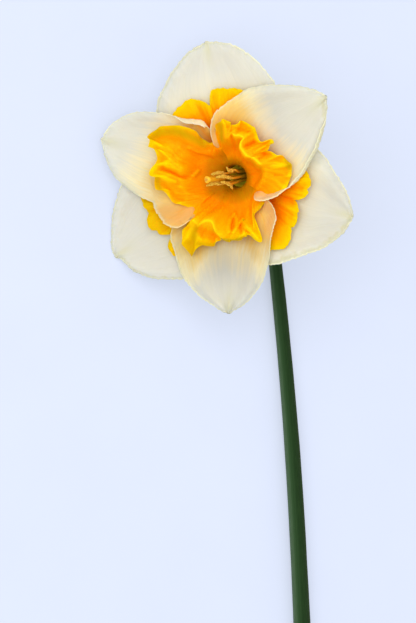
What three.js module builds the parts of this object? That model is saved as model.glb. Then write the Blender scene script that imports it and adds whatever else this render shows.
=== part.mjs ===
// A single split-corona daffodil, as cut, lying on a flat surface with its face turned up.
//
// The stem lies along -Y on the surface z = 0. At its top the neck bends through a right angle and
// carries the flower, which leans over to the left until the tip of its lower left sepal touches
// the surface. The flower has four whorls of three, from back to front: broad white sepals, the
// flat outer segments of the split corona, white petals, and the ruffled inner segments of the
// corona, which stand forward round a green throat with six stamens and a style.
//
// Units are millimetres, angles are degrees, +Z is up.

import * as THREE from "three";

// Where the flower stands

const MOUTH = new THREE.Vector3(-3.28, 99.29, 33.75); // centre of the flower's face, above the surface
const ROLL = 40; // the face leans this far to the left of straight up
const NOD = 6; // and this far towards the stem

// Sizes of the flower, measured from its axis

const SHEET = 0.8; // thickness of petals, sepals and corona segments
const PAPER = 0.6; // thickness of the spathe
const SEAM = 3; // half of the angle left open between neighbours in one whorl
const CORONA_SEAM = 1.8; // the same between the inner segments of the corona
const JOINT_GAP = 0.3; // between pieces that meet end to end

// The whorls leave the tube one outside the other. A petal rises out of the tube towards one
// height, and the two whorls behind it follow it at a distance that widens a little at the tube.

const SEPAL_BASE = 9.2;
const OUTER_SEGMENT_BASE = 7.9;
const PETAL_BASE = 6.6;
const INNER_SEGMENT_BASE = 5.5;
const PETAL_HEIGHT = 4.5;
const PETAL_DEPTH = 13.8; // from that height down to the petal's base
const PETAL_BEND = 8.5; // the distance over which it rises
const OUTER_SEGMENT_DROP = 2;
const SEPAL_DROP = 1.9;
const DROP_AT_BASE = 0.8;
const DROP_BEND = 5;
const INNER_SEGMENT_DEPTH = -8.4;
const INNER_SEGMENT_SLOPE = 1.7;
const INNER_SEGMENT_EASE = 0.028; // the slope eases off outwards

// Each sepal or petal: the direction of its tip, its length from the axis, its half width on the
// clockwise and the other side, the roundness of its end, and how far its tip rises. All are
// widest at the same share of their length.

const SEPALS = {
  top: { azimuth: 96, length: 52, widths: [23.5, 26.5], power: 1.8, tipRise: -1.2 },
  left: { azimuth: 212.5, length: 57, widths: [22.5, 23.5], power: 1.75, tipRise: 0.2 },
  right: { azimuth: 343, length: 50, widths: [26.5, 20.5], power: 1.85, tipRise: -1.5 },
};
const PETALS = {
  upper: { azimuth: 37.3, length: 51.5, widths: [17.6, 21.8], power: 1.42, tipRise: 2.2 },
  left: { azimuth: 163, length: 52.5, widths: [18.3, 16.6], power: 1.95, tipRise: 0.4 },
  lower: { azimuth: 269, length: 51, widths: [20.8, 17.6], power: 1.8, tipRise: -1.6 },
};

const WIDEST = 0.46;
const KEEL = 0.5; // depth of the fold along the middle

// The petals' margins fold forward into the notches of the corona: outwards from the first of
// these angles to the second, and round this distance from the axis.

const PETAL_FOLD = 4;
const FOLD_ANGLES = [34, 54];
const FOLD_RADIUS = 20;
const FOLD_LENGTH = 6;

// Each corona segment: how far its rim reaches at equal steps across it, clockwise side first, how
// many ruffles it has, and where they start.

const OUTER_SEGMENTS = {
  top: { rim: [29, 32.5, 34, 32, 33.5, 32, 29], ruffles: 3, phase: 40 },
  left: { rim: [31, 34.5, 36, 36.5, 34.5, 33, 30], ruffles: 4, phase: 200 },
  right: { rim: [30, 33, 31.5, 28.5, 33, 31, 28], ruffles: 4, phase: 100 },
};
const INNER_SEGMENTS = {
  upper: { rim: [24, 29, 28, 25, 24, 23.5, 21], ruffles: 5, phase: 15 },
  left: { rim: [20, 27, 29, 27, 24.5, 23, 19], ruffles: 4, phase: 250 },
  lower: { rim: [22, 29, 30, 25, 23, 26, 21], ruffles: 5, phase: 130 },
};
const OUTER_LIFT = 2.2; // an outer segment stands up by this much at the middle of its rim
const OUTER_LIFT_ANGLE = 19; // which lies free between two petals
const OUTER_RUFFLE = 1.1;
const OUTER_SCALLOP = 0.8;
const INNER_RUFFLE = 3.2;
const INNER_SCALLOP = 1.3;
const INNER_NARROWING = 0.15; // the share by which an inner segment draws in towards its rim

// Stamens and style

const STAMENS = 6;
const STAMEN_RING = 1.95;
const STAMEN_SPREAD = 2.9; // the ring of the anthers' tips
const FILAMENT_TOPS = [4, 1]; // three stamens stand higher than the other three
const FILAMENT_RADII = [0.5, 0.35];
const ANTHER_LENGTH = 8;
const ANTHER_RADIUS = 0.75;
const STYLE_TOP = 16.5;
const STYLE_RADIUS = 0.75;
const STIGMA_RADIUS = 1.3;
const LEAN = new THREE.Vector2(-3.5, 0.9); // the style's tip is this far off the axis
const LEAN_START = -12;

// The neck. The pedicel bends up from the stem, and the outside of ovary and tube and the inside
// of the throat follow these radii at these heights on the flower's axis.

const NECK_SIDES = 16;
const PEDICEL_RADII = [2.5, 3.1];
const BEND_START = 8;
const BEND_END = [-39, -31];
const THROAT_FLOOR = -19;
const NECK_OUTSIDE = [
  [-28.5, 4.1], [-25.5, 5], [-22, 5.4], [-18.5, 6], [-15.5, 7.1], [-13.2, 8.5], [-11.9, 9.6], [-11.6, 9.3],
];
const NECK_INSIDE = [[-9.3, 5.2], [-9.8, 4.7], [-13, 3.6], [THROAT_FLOOR, 3.1]];

// The stem, seen from above, relative to the flower's mouth

const STEM_TOP = new THREE.Vector2(27.2, -8);
const STEM_BEND = new THREE.Vector2(39.5, -95);
const STEM_END = new THREE.Vector2(45.5, -250);
const STEM_TOP_RADIUS = 2.65;
const STEM_END_RADIUS = 4;
const STEM_SIDES = 12;
const STEM_STEPS = 30;
const STEM_ARCH = 0.8; // the middle of the stem clears the surface by this much
const FOOT_SHARE = 0.14; // the share of the stem at each end that lies flat

// The spathe. Its spine runs through these points, measured from the top of the stem. It is rolled
// round the stem at first, and opens into a flat blade.

const SPATHE_SPINE = [[3.1, -4, 1.95], [3.2, 4, 2], [4.6, 13, 2.8], [2.2, 25, 4.2], [-2.5, 36, 3]];
const SPATHE_RADII = [3.4, 9];
const SPATHE_HALF_WIDTHS = [3.2, 5.6];
const SPATHE_TIP = 0.2;
const SPATHE_TURN = 32;

const COLOURS = {
  white: { color: 0xf3f0e2, roughness: 0.6 },
  yellow: { color: 0xffbe0a, roughness: 0.55 },
  orange: { color: 0xff9405, roughness: 0.55 },
  leafGreen: { color: 0x2f4a27, roughness: 0.5 },
  neckGreen: { color: 0x6b7a1c, roughness: 0.5 },
  pollen: { color: 0xd9a441, roughness: 0.8 },
  filament: { color: 0xb8a13c, roughness: 0.6 },
  stigma: { color: 0xf2c64a, roughness: 0.6 },
  spathe: { color: 0xa98467, roughness: 0.9 },
};

const radians = THREE.MathUtils.degToRad;
const smooth = THREE.MathUtils.smoothstep;
const mix = THREE.MathUtils.lerp;

function material(name) {
  return new THREE.MeshStandardMaterial({ ...COLOURS[name], metalness: 0 });
}

function meshOf(name, geometry, colour) {
  const mesh = new THREE.Mesh(geometry, material(colour));
  mesh.name = name;
  return mesh;
}

function geometryOf(points, triangles) {
  const geometry = new THREE.BufferGeometry().setFromPoints(points);
  geometry.setIndex(triangles);
  geometry.computeVertexNormals();
  return geometry;
}

// A thin closed sheet round the surface pointAt(u, v), with u from 0 to 1 and v from -1 to 1. Both
// faces are split into the same triangles, so that they stay apart where the sheet waves.
function sheet(pointAt, rows, columns, thickness) {
  const middle = [];
  for (let i = 0; i <= rows; i++) {
    for (let j = 0; j <= columns; j++) middle.push(pointAt(i / rows, (2 * j) / columns - 1));
  }
  const at = (i, j) => i * (columns + 1) + j;
  const step = (i, j, di, dj) => {
    const after = middle[at(Math.min(i + di, rows), Math.min(j + dj, columns))];
    return after.clone().sub(middle[at(Math.max(i - di, 0), Math.max(j - dj, 0))]);
  };
  const front = [];
  const back = [];
  for (let i = 0; i <= rows; i++) {
    for (let j = 0; j <= columns; j++) {
      const offset = step(i, j, 1, 0).cross(step(i, j, 0, 1)).setLength(thickness / 2);
      front.push(middle[at(i, j)].clone().add(offset));
      back.push(middle[at(i, j)].clone().sub(offset));
    }
  }
  const count = front.length;
  const triangles = [];
  for (let i = 0; i < rows; i++) {
    for (let j = 0; j < columns; j++) {
      const [a, b, c, d] = [at(i, j), at(i + 1, j), at(i + 1, j + 1), at(i, j + 1)];
      triangles.push(a, b, c, a, c, d);
      triangles.push(a + count, c + count, b + count, a + count, d + count, c + count);
    }
  }
  const edge = [];
  for (let i = 0; i < rows; i++) edge.push(at(i, 0));
  for (let j = 0; j < columns; j++) edge.push(at(rows, j));
  for (let i = rows; i > 0; i--) edge.push(at(i, columns));
  for (let j = columns; j > 0; j--) edge.push(at(0, j));
  edge.forEach((p, k) => {
    const q = edge[(k + 1) % edge.length];
    triangles.push(q, p, p + count, q, p + count, q + count);
  });
  return geometryOf([...front, ...back], triangles);
}

// A closed solid through rings of points. Each ring runs the same way round the direction from the
// first ring to the last.
function loft(rings) {
  const sides = rings[0].length;
  const points = rings.flat();
  const triangles = [];
  for (let k = 0; k + 1 < rings.length; k++) {
    for (let i = 0; i < sides; i++) {
      const a = k * sides + i;
      const b = k * sides + ((i + 1) % sides);
      triangles.push(a, b, b + sides, a, b + sides, a + sides);
    }
  }
  const cap = (ring, start, facingBack) => {
    const centre = ring.reduce((sum, p) => sum.add(p), new THREE.Vector3()).divideScalar(sides);
    const middle = points.push(centre) - 1;
    for (let i = 0; i < sides; i++) {
      const next = start + ((i + 1) % sides);
      triangles.push(middle, ...(facingBack ? [next, start + i] : [start + i, next]));
    }
  };
  cap(rings[0], 0, true);
  cap(rings.at(-1), (rings.length - 1) * sides, false);
  return geometryOf(points, triangles);
}

function ringOf(centre, across, up, radius, sides, turn = 0) {
  return Array.from({ length: sides }, (_, i) => {
    const angle = ((i + turn) / sides) * 2 * Math.PI;
    return centre
      .clone()
      .addScaledVector(across, radius * Math.cos(angle))
      .addScaledVector(up, radius * Math.sin(angle));
  });
}

// A round rod along a curve, with its radius given along it.
function rod(curve, radiusAt, steps, sides) {
  const frames = curve.computeFrenetFrames(steps);
  const rings = frames.tangents.map((_, k) =>
    ringOf(curve.getPointAt(k / steps), frames.normals[k], frames.binormals[k], radiusAt(k / steps), sides),
  );
  return loft(rings);
}

// Heights of the four whorls over the distance r from the axis, from front to back. Each one keeps
// clear of the next.

function innerSegmentHeight(r) {
  const out = r - INNER_SEGMENT_BASE;
  return INNER_SEGMENT_DEPTH + INNER_SEGMENT_SLOPE * out - INNER_SEGMENT_EASE * out ** 2;
}

function petalHeight(r) {
  return PETAL_HEIGHT - PETAL_DEPTH * Math.exp((PETAL_BASE - r) / PETAL_BEND);
}

function outerSegmentHeight(r) {
  const drop = OUTER_SEGMENT_DROP + DROP_AT_BASE * Math.exp((OUTER_SEGMENT_BASE - r) / DROP_BEND);
  return petalHeight(r) - drop;
}

function sepalHeight(r) {
  const drop = SEPAL_DROP + DROP_AT_BASE * Math.exp((SEPAL_BASE - r) / DROP_BEND);
  return outerSegmentHeight(r) - drop;
}

// How far a petal's edge is from the axis in the direction delta from its tip: an oval end with
// straight sides below it.
function edgeRadius({ length, widths, power }, delta) {
  const width = delta < 0 ? widths[0] : widths[1];
  const centre = WIDEST * length;
  let near = 0;
  let far = length;
  for (let i = 0; i < 40; i++) {
    const r = (near + far) / 2;
    const along = Math.max(0, r * Math.cos(delta) - centre) / (length - centre);
    const across = (r * Math.abs(Math.sin(delta))) / width;
    if (along ** power + across ** power < 1) near = r;
    else far = r;
  }
  return far;
}

// The angles from a piece's tip to its two neighbours in the whorl, less the seam.
function reachOf(whorl, key, seam) {
  const others = Object.keys(whorl).filter((other) => other !== key);
  const gaps = others.map((other) => (whorl[other].azimuth - whorl[key].azimuth + 720) % 360);
  return [(360 - Math.max(...gaps)) / 2 - seam, Math.min(...gaps) / 2 - seam].map(radians);
}

function pointOn(r, delta, height) {
  return new THREE.Vector3(r * Math.cos(delta), r * Math.sin(delta), height);
}

function tepal(shape, reach, baseRadius, heightAt, fold) {
  const surface = (u, v) => {
    const spread = v < 0 ? reach[0] : reach[1];
    const delta = Math.sign(v) * Math.abs(v) ** 1.3 * spread;
    const edge = edgeRadius(shape, delta);
    const r = mix(baseRadius, edge, u);
    const rise = shape.tipRise * (r / shape.length) ** 2;
    const keel = KEEL * u * Math.exp(-((r * delta) ** 2) / 8);
    const margin = smooth(Math.abs(delta), ...FOLD_ANGLES.map(radians));
    const lift = fold * margin * Math.exp(-(((r - FOLD_RADIUS) / FOLD_LENGTH) ** 2));
    return pointOn(r, delta, heightAt(r) + rise - keel + lift);
  };
  return sheet(surface, 9, 16, SHEET);
}

// The reach of a segment's rim at v from -1 to 1, read smoothly between the steps given for it.
function rimAt(rim, v) {
  const place = ((v + 1) / 2) * (rim.length - 1);
  const step = Math.min(Math.floor(place), rim.length - 2);
  return mix(rim[step], rim[step + 1], smooth(place - step, 0, 1));
}

// A flat outer segment of the corona, with a scalloped rim.
function outerSegment(shape, reach) {
  const surface = (u, v) => {
    const spread = v < 0 ? reach[0] : reach[1];
    const delta = v * spread;
    const wave = Math.cos(Math.PI * shape.ruffles * v + radians(shape.phase));
    const r = mix(OUTER_SEGMENT_BASE, rimAt(shape.rim, v) + OUTER_SCALLOP * wave, u);
    const middle = Math.max(0, 1 - (delta / radians(OUTER_LIFT_ANGLE)) ** 2);
    const lift = u ** 4 * middle * (OUTER_LIFT + OUTER_RUFFLE * wave);
    return pointOn(r, delta, outerSegmentHeight(r) + lift);
  };
  return sheet(surface, 7, 20, SHEET);
}

// A ruffled inner segment of the corona. Its sides draw in towards the rim, which leaves the notch
// where the petals show.
function innerSegment(shape, reach) {
  const surface = (u, v) => {
    const spread = v < 0 ? reach[0] : reach[1];
    const delta = v * spread * (1 - INNER_NARROWING * smooth(u, 0.3, 0.9));
    const turn = Math.PI * shape.ruffles * v + radians(shape.phase) + Math.sin(3 * v);
    const r = mix(INNER_SEGMENT_BASE, rimAt(shape.rim, v) + INNER_SCALLOP * Math.cos(turn), u);
    const swell = 0.8 + 0.35 * Math.sin(5 * v + radians(shape.phase));
    const wave = INNER_RUFFLE * swell * u ** 2 * Math.sin(turn);
    return pointOn(r, delta, innerSegmentHeight(r) + wave);
  };
  return sheet(surface, 8, 28, SHEET);
}

// The style leans a little to the left as it rises, and the stamens lean with it.
function leanAt(height) {
  const share = Math.max(0, (height - LEAN_START) / (STYLE_TOP - LEAN_START));
  return LEAN.clone().multiplyScalar(share ** 1.2);
}

function risingCurve(angle, spread, from, to) {
  const points = [0, 0.35, 0.7, 1].map((share) => {
    const height = mix(from, to, share);
    const lean = leanAt(height);
    const out = mix(spread[0], spread[1], share);
    return new THREE.Vector3(lean.x + out * Math.cos(angle), lean.y + out * Math.sin(angle), height);
  });
  return new THREE.CatmullRomCurve3(points);
}

function stamen(number) {
  const angle = radians((360 / STAMENS) * number);
  const top = FILAMENT_TOPS[number % 2];
  const ring = [STAMEN_RING, STAMEN_RING];
  const filament = risingCurve(angle, ring, THROAT_FLOOR + JOINT_GAP, top - JOINT_GAP);
  const anther = risingCurve(angle, [STAMEN_RING, STAMEN_SPREAD], top, top + ANTHER_LENGTH);
  const pollenAt = (share) => ANTHER_RADIUS * (0.33 + 0.67 * Math.sin(Math.PI * share) ** 0.6);
  return [
    meshOf(`filament_${number}`, rod(filament, (share) => mix(...FILAMENT_RADII, share), 8, 6), "filament"),
    meshOf(`anther_${number}`, rod(anther, pollenAt, 7, 6), "pollen"),
  ];
}

// The style ends in a knob, the stigma.
function style() {
  const curve = risingCurve(0, [0, 0], THROAT_FLOOR + JOINT_GAP, STYLE_TOP);
  const radiusAt = (share) => {
    const knob = mix(STYLE_RADIUS, STIGMA_RADIUS, smooth(share, 0.9, 0.96));
    return knob - 0.7 * STIGMA_RADIUS * smooth(share, 0.975, 1);
  };
  return meshOf("style", rod(curve, radiusAt, 24, 8), "stigma");
}

// The flower's own frame: its axis is +Z, and azimuths run from the right of its face.
const head = new THREE.Group();
head.position.copy(MOUTH);
head.rotation.set(radians(NOD), radians(-ROLL), 0, "YXZ");

// A whorl of three. The segments of the corona stand on the same directions as the sepals or
// petals behind them.
function addWhorl(prefix, directions, colour, seam, build) {
  for (const key in directions) {
    const mesh = meshOf(`${prefix}_${key}`, build(key, reachOf(directions, key, seam)), colour);
    mesh.rotation.z = radians(directions[key].azimuth);
    head.add(mesh);
  }
}

addWhorl("sepal", SEPALS, "white", SEAM, (key, reach) =>
  tepal(SEPALS[key], reach, SEPAL_BASE, sepalHeight, 0),
);
addWhorl("corona_outer", SEPALS, "yellow", SEAM, (key, reach) => outerSegment(OUTER_SEGMENTS[key], reach));
addWhorl("petal", PETALS, "white", SEAM, (key, reach) =>
  tepal(PETALS[key], reach, PETAL_BASE, petalHeight, PETAL_FOLD),
);
addWhorl("corona_inner", PETALS, "orange", CORONA_SEAM, (key, reach) =>
  innerSegment(INNER_SEGMENTS[key], reach),
);
for (let number = 1; number <= STAMENS; number++) head.add(...stamen(number));
head.add(style());

// The neck: pedicel, ovary and floral tube in one, with the throat open at its top.

head.updateMatrixWorld(true);
const facing = new THREE.Vector3(0, 0, 1).transformDirection(head.matrixWorld);
const faceRight = new THREE.Vector3(1, 0, 0).transformDirection(head.matrixWorld);
const faceUp = new THREE.Vector3(0, 1, 0).transformDirection(head.matrixWorld);
const onAxis = (height) => MOUTH.clone().addScaledVector(facing, height);

const stemTopHeight = STEM_TOP_RADIUS * Math.cos(Math.PI / STEM_SIDES);
const stemPoint = ({ x, y }, z) => new THREE.Vector3(MOUTH.x + x, MOUTH.y + y, z);
const stemTop = stemPoint(STEM_TOP, stemTopHeight);
const stemUp = new THREE.Vector3(STEM_TOP.x - STEM_BEND.x, STEM_TOP.y - STEM_BEND.y, 0).normalize();

function neck() {
  const start = stemTop.clone().addScaledVector(stemUp, JOINT_GAP);
  const ahead = start.clone().addScaledVector(stemUp, BEND_START);
  const bend = new THREE.CubicBezierCurve3(start, ahead, ...BEND_END.map(onAxis));
  const rings = [];
  const steps = 8;
  for (let k = 0; k <= steps; k++) {
    const share = k / steps;
    const centre = bend.getPoint(share);
    const along = bend.getTangent(share);
    const across = faceRight.clone().addScaledVector(along, -faceRight.dot(along)).normalize();
    const up = along.clone().cross(across);
    rings.push(ringOf(centre, across, up, mix(...PEDICEL_RADII, share ** 2), NECK_SIDES));
  }
  for (const [height, radius] of [...NECK_OUTSIDE, ...NECK_INSIDE]) {
    rings.push(ringOf(onAxis(height), faceRight, faceUp, radius, NECK_SIDES));
  }
  return meshOf("neck", loft(rings), "neckGreen");
}

// The stem widens towards its cut end. Its lowest side is flat on the surface at both ends and
// arches just clear of it between them.
function stem() {
  const route = new THREE.QuadraticBezierCurve(STEM_END, STEM_BEND, STEM_TOP);
  const up = new THREE.Vector3(0, 0, 1);
  const rings = [];
  for (let k = 0; k <= STEM_STEPS; k++) {
    const share = k / STEM_STEPS;
    const radius = mix(STEM_END_RADIUS, STEM_TOP_RADIUS, share);
    const inside = (share - FOOT_SHARE) / (1 - 2 * FOOT_SHARE);
    const arch = inside > 0 && inside < 1 ? STEM_ARCH * Math.sin(Math.PI * inside) ** 2 : 0;
    const height = radius * Math.cos(Math.PI / STEM_SIDES) + arch;
    const along = route.getTangent(share);
    const across = new THREE.Vector3(-along.y, along.x, 0);
    const centre = stemPoint(route.getPoint(share), height);
    rings.push(ringOf(centre, across, up, radius, STEM_SIDES, 0.5));
  }
  return meshOf("stem", loft(rings), "leafGreen");
}

// The spathe: a papery sheath that clasps the top of the stem on the outside of the bend, and runs
// straight on past it as a flat, pointed blade.
function spathe() {
  const clasp = new THREE.Vector3(Math.cos(radians(SPATHE_TURN)), 0, Math.sin(radians(SPATHE_TURN)));
  const flat = new THREE.Vector3(0, 0, 1);
  const spine = new THREE.CatmullRomCurve3(
    SPATHE_SPINE.map(([x, y, z]) => stemTop.clone().add(new THREE.Vector3(x, y, z))),
  );
  const surface = (u, v) => {
    const along = spine.getTangentAt(u);
    const outward = clasp.clone().lerp(flat, smooth(u, 0.3, 0.7));
    outward.addScaledVector(along, -outward.dot(along)).normalize();
    const across = along.clone().cross(outward);
    const radius = mix(...SPATHE_RADII, smooth(u, 0.25, 0.8));
    const widest = mix(...SPATHE_HALF_WIDTHS, smooth(u, 0.15, 0.5));
    const halfWidth = SPATHE_TIP + widest * (1 - smooth(u, 0.45, 1.02));
    const angle = (v * halfWidth) / radius;
    return spine
      .getPointAt(u)
      .addScaledVector(outward, radius * (Math.cos(angle) - 1))
      .addScaledVector(across, -radius * Math.sin(angle));
  };
  return meshOf("spathe", sheet(surface, 12, 8, PAPER), "spathe");
}

const daffodil = new THREE.Group();
daffodil.add(stem(), neck(), spathe(), head);

export default daffodil;
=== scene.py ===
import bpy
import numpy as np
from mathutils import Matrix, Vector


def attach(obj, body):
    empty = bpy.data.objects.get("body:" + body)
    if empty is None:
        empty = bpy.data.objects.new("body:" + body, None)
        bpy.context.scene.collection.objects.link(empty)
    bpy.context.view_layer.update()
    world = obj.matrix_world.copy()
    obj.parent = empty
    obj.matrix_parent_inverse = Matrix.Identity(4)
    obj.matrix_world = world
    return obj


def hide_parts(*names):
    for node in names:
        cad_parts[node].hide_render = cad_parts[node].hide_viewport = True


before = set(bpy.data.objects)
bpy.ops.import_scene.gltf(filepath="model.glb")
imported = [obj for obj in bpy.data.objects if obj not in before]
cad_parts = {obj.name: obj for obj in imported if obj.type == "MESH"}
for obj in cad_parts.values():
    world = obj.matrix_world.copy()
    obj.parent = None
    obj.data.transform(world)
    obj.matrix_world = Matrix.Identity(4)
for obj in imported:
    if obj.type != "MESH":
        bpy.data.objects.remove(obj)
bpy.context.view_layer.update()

# A cut split-corona daffodil on a pale, softly lit floor. Lengths are in millimetres and angles in
# degrees, unless a name or comment says otherwise. Meshes are made in metres. The flower's own
# frame has its origin in the middle of the mouth and z straight out of the face. Its angles run
# anticlockwise from x, to one who looks into the face.

MM = 0.001

# Where the flower stands in the row frame, as in the solids

MOUTH = Vector((-3.28, 99.29, 33.75))
ROLL = 40
NOD = 6
TURN = Matrix.Rotation(np.radians(-ROLL), 3, "Y") @ Matrix.Rotation(np.radians(NOD), 3, "X")
FACING = np.array(TURN @ Vector((0, 0, 1)))
FACE_RIGHT = np.array(TURN @ Vector((1, 0, 0)))

# The picture in pixels, and the camera, which looks down on the flower from far away

PICTURE = (416, 623)
MOUTH_PIXEL = (231, 178)
PIXELS_PER_MM = 2.64
CAMERA_DISTANCE = 2500
CAMERA_TILT = 20.4
CAMERA_ROLL = 0.3
SENSOR = 36
NEAREST_SEEN = 10

# Lights: the place in metres, then the width in metres, the power in watts and the colour. The
# place of the key light is measured from the mouth, in the flower's own frame. The floor glows
# like a lit table, so that shadows stay weak.

KEY_PLACE = (0.3, 0.35, 1.3)
KEY_LIGHT = (1.5, 14, (1.0, 0.99, 0.97))
FILL_PLACE = (0.9, -0.3, 1.0)
FILL_LIGHT = (1.4, 2.0, (0.95, 0.97, 1.0))
SKY_COLOUR = (0.93, 0.95, 1.0, 1)
SKY_STRENGTH = 0.82
FLOOR_HALF = 8000
FLOOR_DROP = 0.05
FLOOR_GLOW = (0.395, 0.43, 0.5, 1)

# The whorls leave the tube one outside the other, as in the solids

SEPAL_BASE = 8.9
OUTER_SEGMENT_BASE = 7.7
PETAL_BASE = 6.5
INNER_SEGMENT_BASE = 4.5
PETAL_HEIGHT = 4.5
PETAL_DEPTH = 13.8
PETAL_BEND = 8.5
OUTER_SEGMENT_DROP = 2
SEPAL_DROP = 1.9
DROP_AT_BASE = 0.8
DROP_BEND = 5
THROAT_DEPTH = -10.4

SHEET = 0.55  # thickness in the middle of a petal
MARGIN = 0.28  # and at its edge
THINNING = 5  # over this distance

# The distance from the axis at which the colours of each whorl end

TEPAL_REACH = 52
OUTER_SEGMENT_REACH = 36
INNER_SEGMENT_REACH = 30
RIBS_SPREAD = 50  # degrees for which the pattern of ribs on a segment is drawn

# Sepals and petals. azimuth is the angle of the tip. The outline runs from the clockwise side to
# the other: the angle from the tip, the distance from the axis, and how far the margin is turned
# up there. The turning up sets in between the distances of free. rise lifts the tip, and pleats
# are soft lengthwise waves: height, number and phase. rolled is the share of a full roll that the
# clockwise margin has, its radius, and the angles between which it grows and fades.
# rim_shade_widths are the widths of the band along the two margins: pale cream at the very edge,
# and further in a darker cream that is painted shade where the margin curls away.
# painted_brightness is the brightness painted on the whole tepal for how it faces the light, and
# painted_shades are patches of painted shade, or of painted light below zero: angle and its width,
# distance and its width, and depth. gold_and_glow are golden streaks from the base, partly the
# tissue's own gold and partly painted glow of the corona's light on it, or paler ones below zero,
# which partly paint light where the corona casts shade: angle, width and reach.

SEPALS = {
    "sepal_top": dict(
        azimuth=99, rise=-1.2, free=(12, 18), pleats=(0.35, 3.2, 0.4), seed=1, rim_shade_widths=(0.9, 1.2),
        painted_brightness=0.93, painted_shades=[(10, 40, 34, 8, -0.07)],
        outline=[(-59, 29, 0), (-46, 36.5, 0), (-35, 41.3, 0), (-26, 45.2, 0), (-17, 49.1, 0),
                 (-9, 51.4, 0), (-4, 52.1, 0), (0, 52.2, 0), (4, 51.7, 0), (11, 49.6, 0),
                 (20, 46.2, 0), (28, 43.2, 0), (35, 41, 0), (43, 37, 0), (53, 30, 0)],
    ),
    "sepal_left": dict(
        azimuth=212.5, rise=0.95, free=(12, 18), pleats=(0.4, 2.6, 1.9), seed=2, rim_shade_widths=(0.8, 1.3),
        painted_brightness=0.93, painted_shades=[(0, 60, 28, 13, 0.08)],
        outline=[(-56, 30, 0), (-42, 38, 0), (-29, 44.3, 0), (-18, 49.3, 0), (-8, 53.7, 0),
                 (-1, 56.2, 0), (3, 54.6, 0), (9, 53.6, 0), (15, 51.2, 0), (21, 48, 0),
                 (29, 43.7, 0), (42, 37, 0), (62, 29, 0)],
    ),
    "sepal_right": dict(
        azimuth=343, rise=-1.5, free=(12, 18), pleats=(0.45, 3.0, 2.6), seed=3, rim_shade_widths=(2.2, 0.8),
        painted_brightness=0.9, painted_shades=[(-10, 30, 26, 10, 0.06), (-34, 18, 36, 10, -0.09), (22, 12, 34, 4, -0.13)],
        outline=[(-63, 30, 0), (-49, 36.2, 0.8), (-38, 38.5, 1.6), (-29, 40.9, 2), (-19, 45.2, 2),
                 (-11, 48.3, 1.2), (-4, 50.1, 0), (0, 50.6, 0), (4, 49.3, 0), (10, 47, 0),
                 (15, 44.2, 0), (22, 41.2, 0), (32, 37.8, 0), (43, 33, 0), (54, 28, 0)],
    ),
}

PETALS = {
    "petal_upper": dict(
        azimuth=37.3, rise=2.2, free=(9, 14), pleats=(0.45, 2.7, 0.9), seed=4, rim_shade_widths=(2.8, 0.7),
        rolled=(1, 1.8, 2, 12, 38, 52), gold_and_glow=[(46, 19, 8), (4, 26, -10), (-64, 9, -8)],
        painted_brightness=0.97, painted_shades=[(12, 17, 34, 16, 0.06), (34, 20, 31, 8, 0.08), (0, 24, 22, 5, -0.16)],
        outline=[(-70, 14.5, 8.5), (-66, 16.5, 8), (-61, 18.8, 7), (-54, 21.5, 5), (-47, 24, 3.5),
                 (-41, 26.8, 1.5), (-36, 29.4, 0.4), (-28, 33.1, 0), (-18, 39.3, 0), (-12, 43.4, 0),
                 (-8.5, 45.7, 0), (-3, 49.3, 0), (0, 50.7, 0), (4.5, 49.6, 0), (9, 47.6, 0),
                 (16, 44, 0), (24, 40.6, 0), (33, 37, 0), (38, 35, 0), (47, 30.5, 0.5),
                 (55.5, 27.4, 1.5), (62, 24.9, 2.6), (66, 22.5, 3.4), (70, 19.4, 4), (75, 14, 4.5)],
    ),
    "petal_left": dict(
        azimuth=163, rise=0.4, free=(16, 20), pleats=(0.4, 2.3, 2.4), seed=5, rim_shade_widths=(0.7, 0.8),
        rolled=(1, 2.2, 28, 38, 53, 57), gold_and_glow=[(54, 16, 12), (18, 16, 7), (-48, 11, 9)],
        painted_brightness=0.97, painted_shades=[(-22, 14, 42, 18, 0.07), (45, 14, 31, 9, 0.22), (22, 18, 31, 8, 0.14),
                          (-32, 12, 27, 4, -0.12)],
        outline=[(-57, 17, 4), (-56, 19.8, 4.4), (-53.4, 22.4, 4.6), (-46.2, 25.3, 4), (-38, 27.8, 3),
                 (-32, 32.3, 1.6), (-26, 37.2, 0.4), (-20, 42.6, 0), (-14, 47.2, 0), (-8, 50.3, 0),
                 (-3, 51.9, 0), (0, 52.4, 0), (4, 50.8, 0), (10, 48.4, 0), (16, 45, 0), (22, 40.4, 0),
                 (28, 35.5, 0.8), (33, 31.4, 2), (38.5, 30.6, 3.5), (47, 29.8, 4.6), (54, 28.8, 5.4),
                 (58.5, 27.2, 6), (62.5, 24.3, 6.4), (64, 21.6, 6.4), (65, 18, 5)],
    ),
    "petal_lower": dict(
        azimuth=269, rise=-1.6, free=(14, 19), pleats=(0.55, 3.4, 1.2), seed=6, rim_shade_widths=(0.8, 0.7),
        gold_and_glow=[(35, 9, 6), (21, 5, 6), (-2, 8, -4), (-23, 6, 10), (-34, 7, 10), (-48, 6, 10)],
        painted_brightness=0.94, painted_shades=[(0, 60, 28, 13, 0.31), (38, 14, 18, 8, -0.17), (-1, 12, 23, 4, -0.14)],
        outline=[(-54, 25, 1), (-46, 32, 1), (-38, 35, 0.5), (-30, 39.8, 0), (-22, 43.6, 0),
                 (-14, 46.5, 0), (-6, 49.3, 0), (0, 50.9, 0), (5, 49, 0), (11, 46.2, 0),
                 (18, 42, 0), (24, 37.6, 0), (29, 34, 0.6), (33, 31.6, 2), (41, 28, 4),
                 (49, 26.3, 5), (57, 24.6, 5.6), (63, 21.5, 5.4), (66, 18, 5)],
    ),
}

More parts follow.
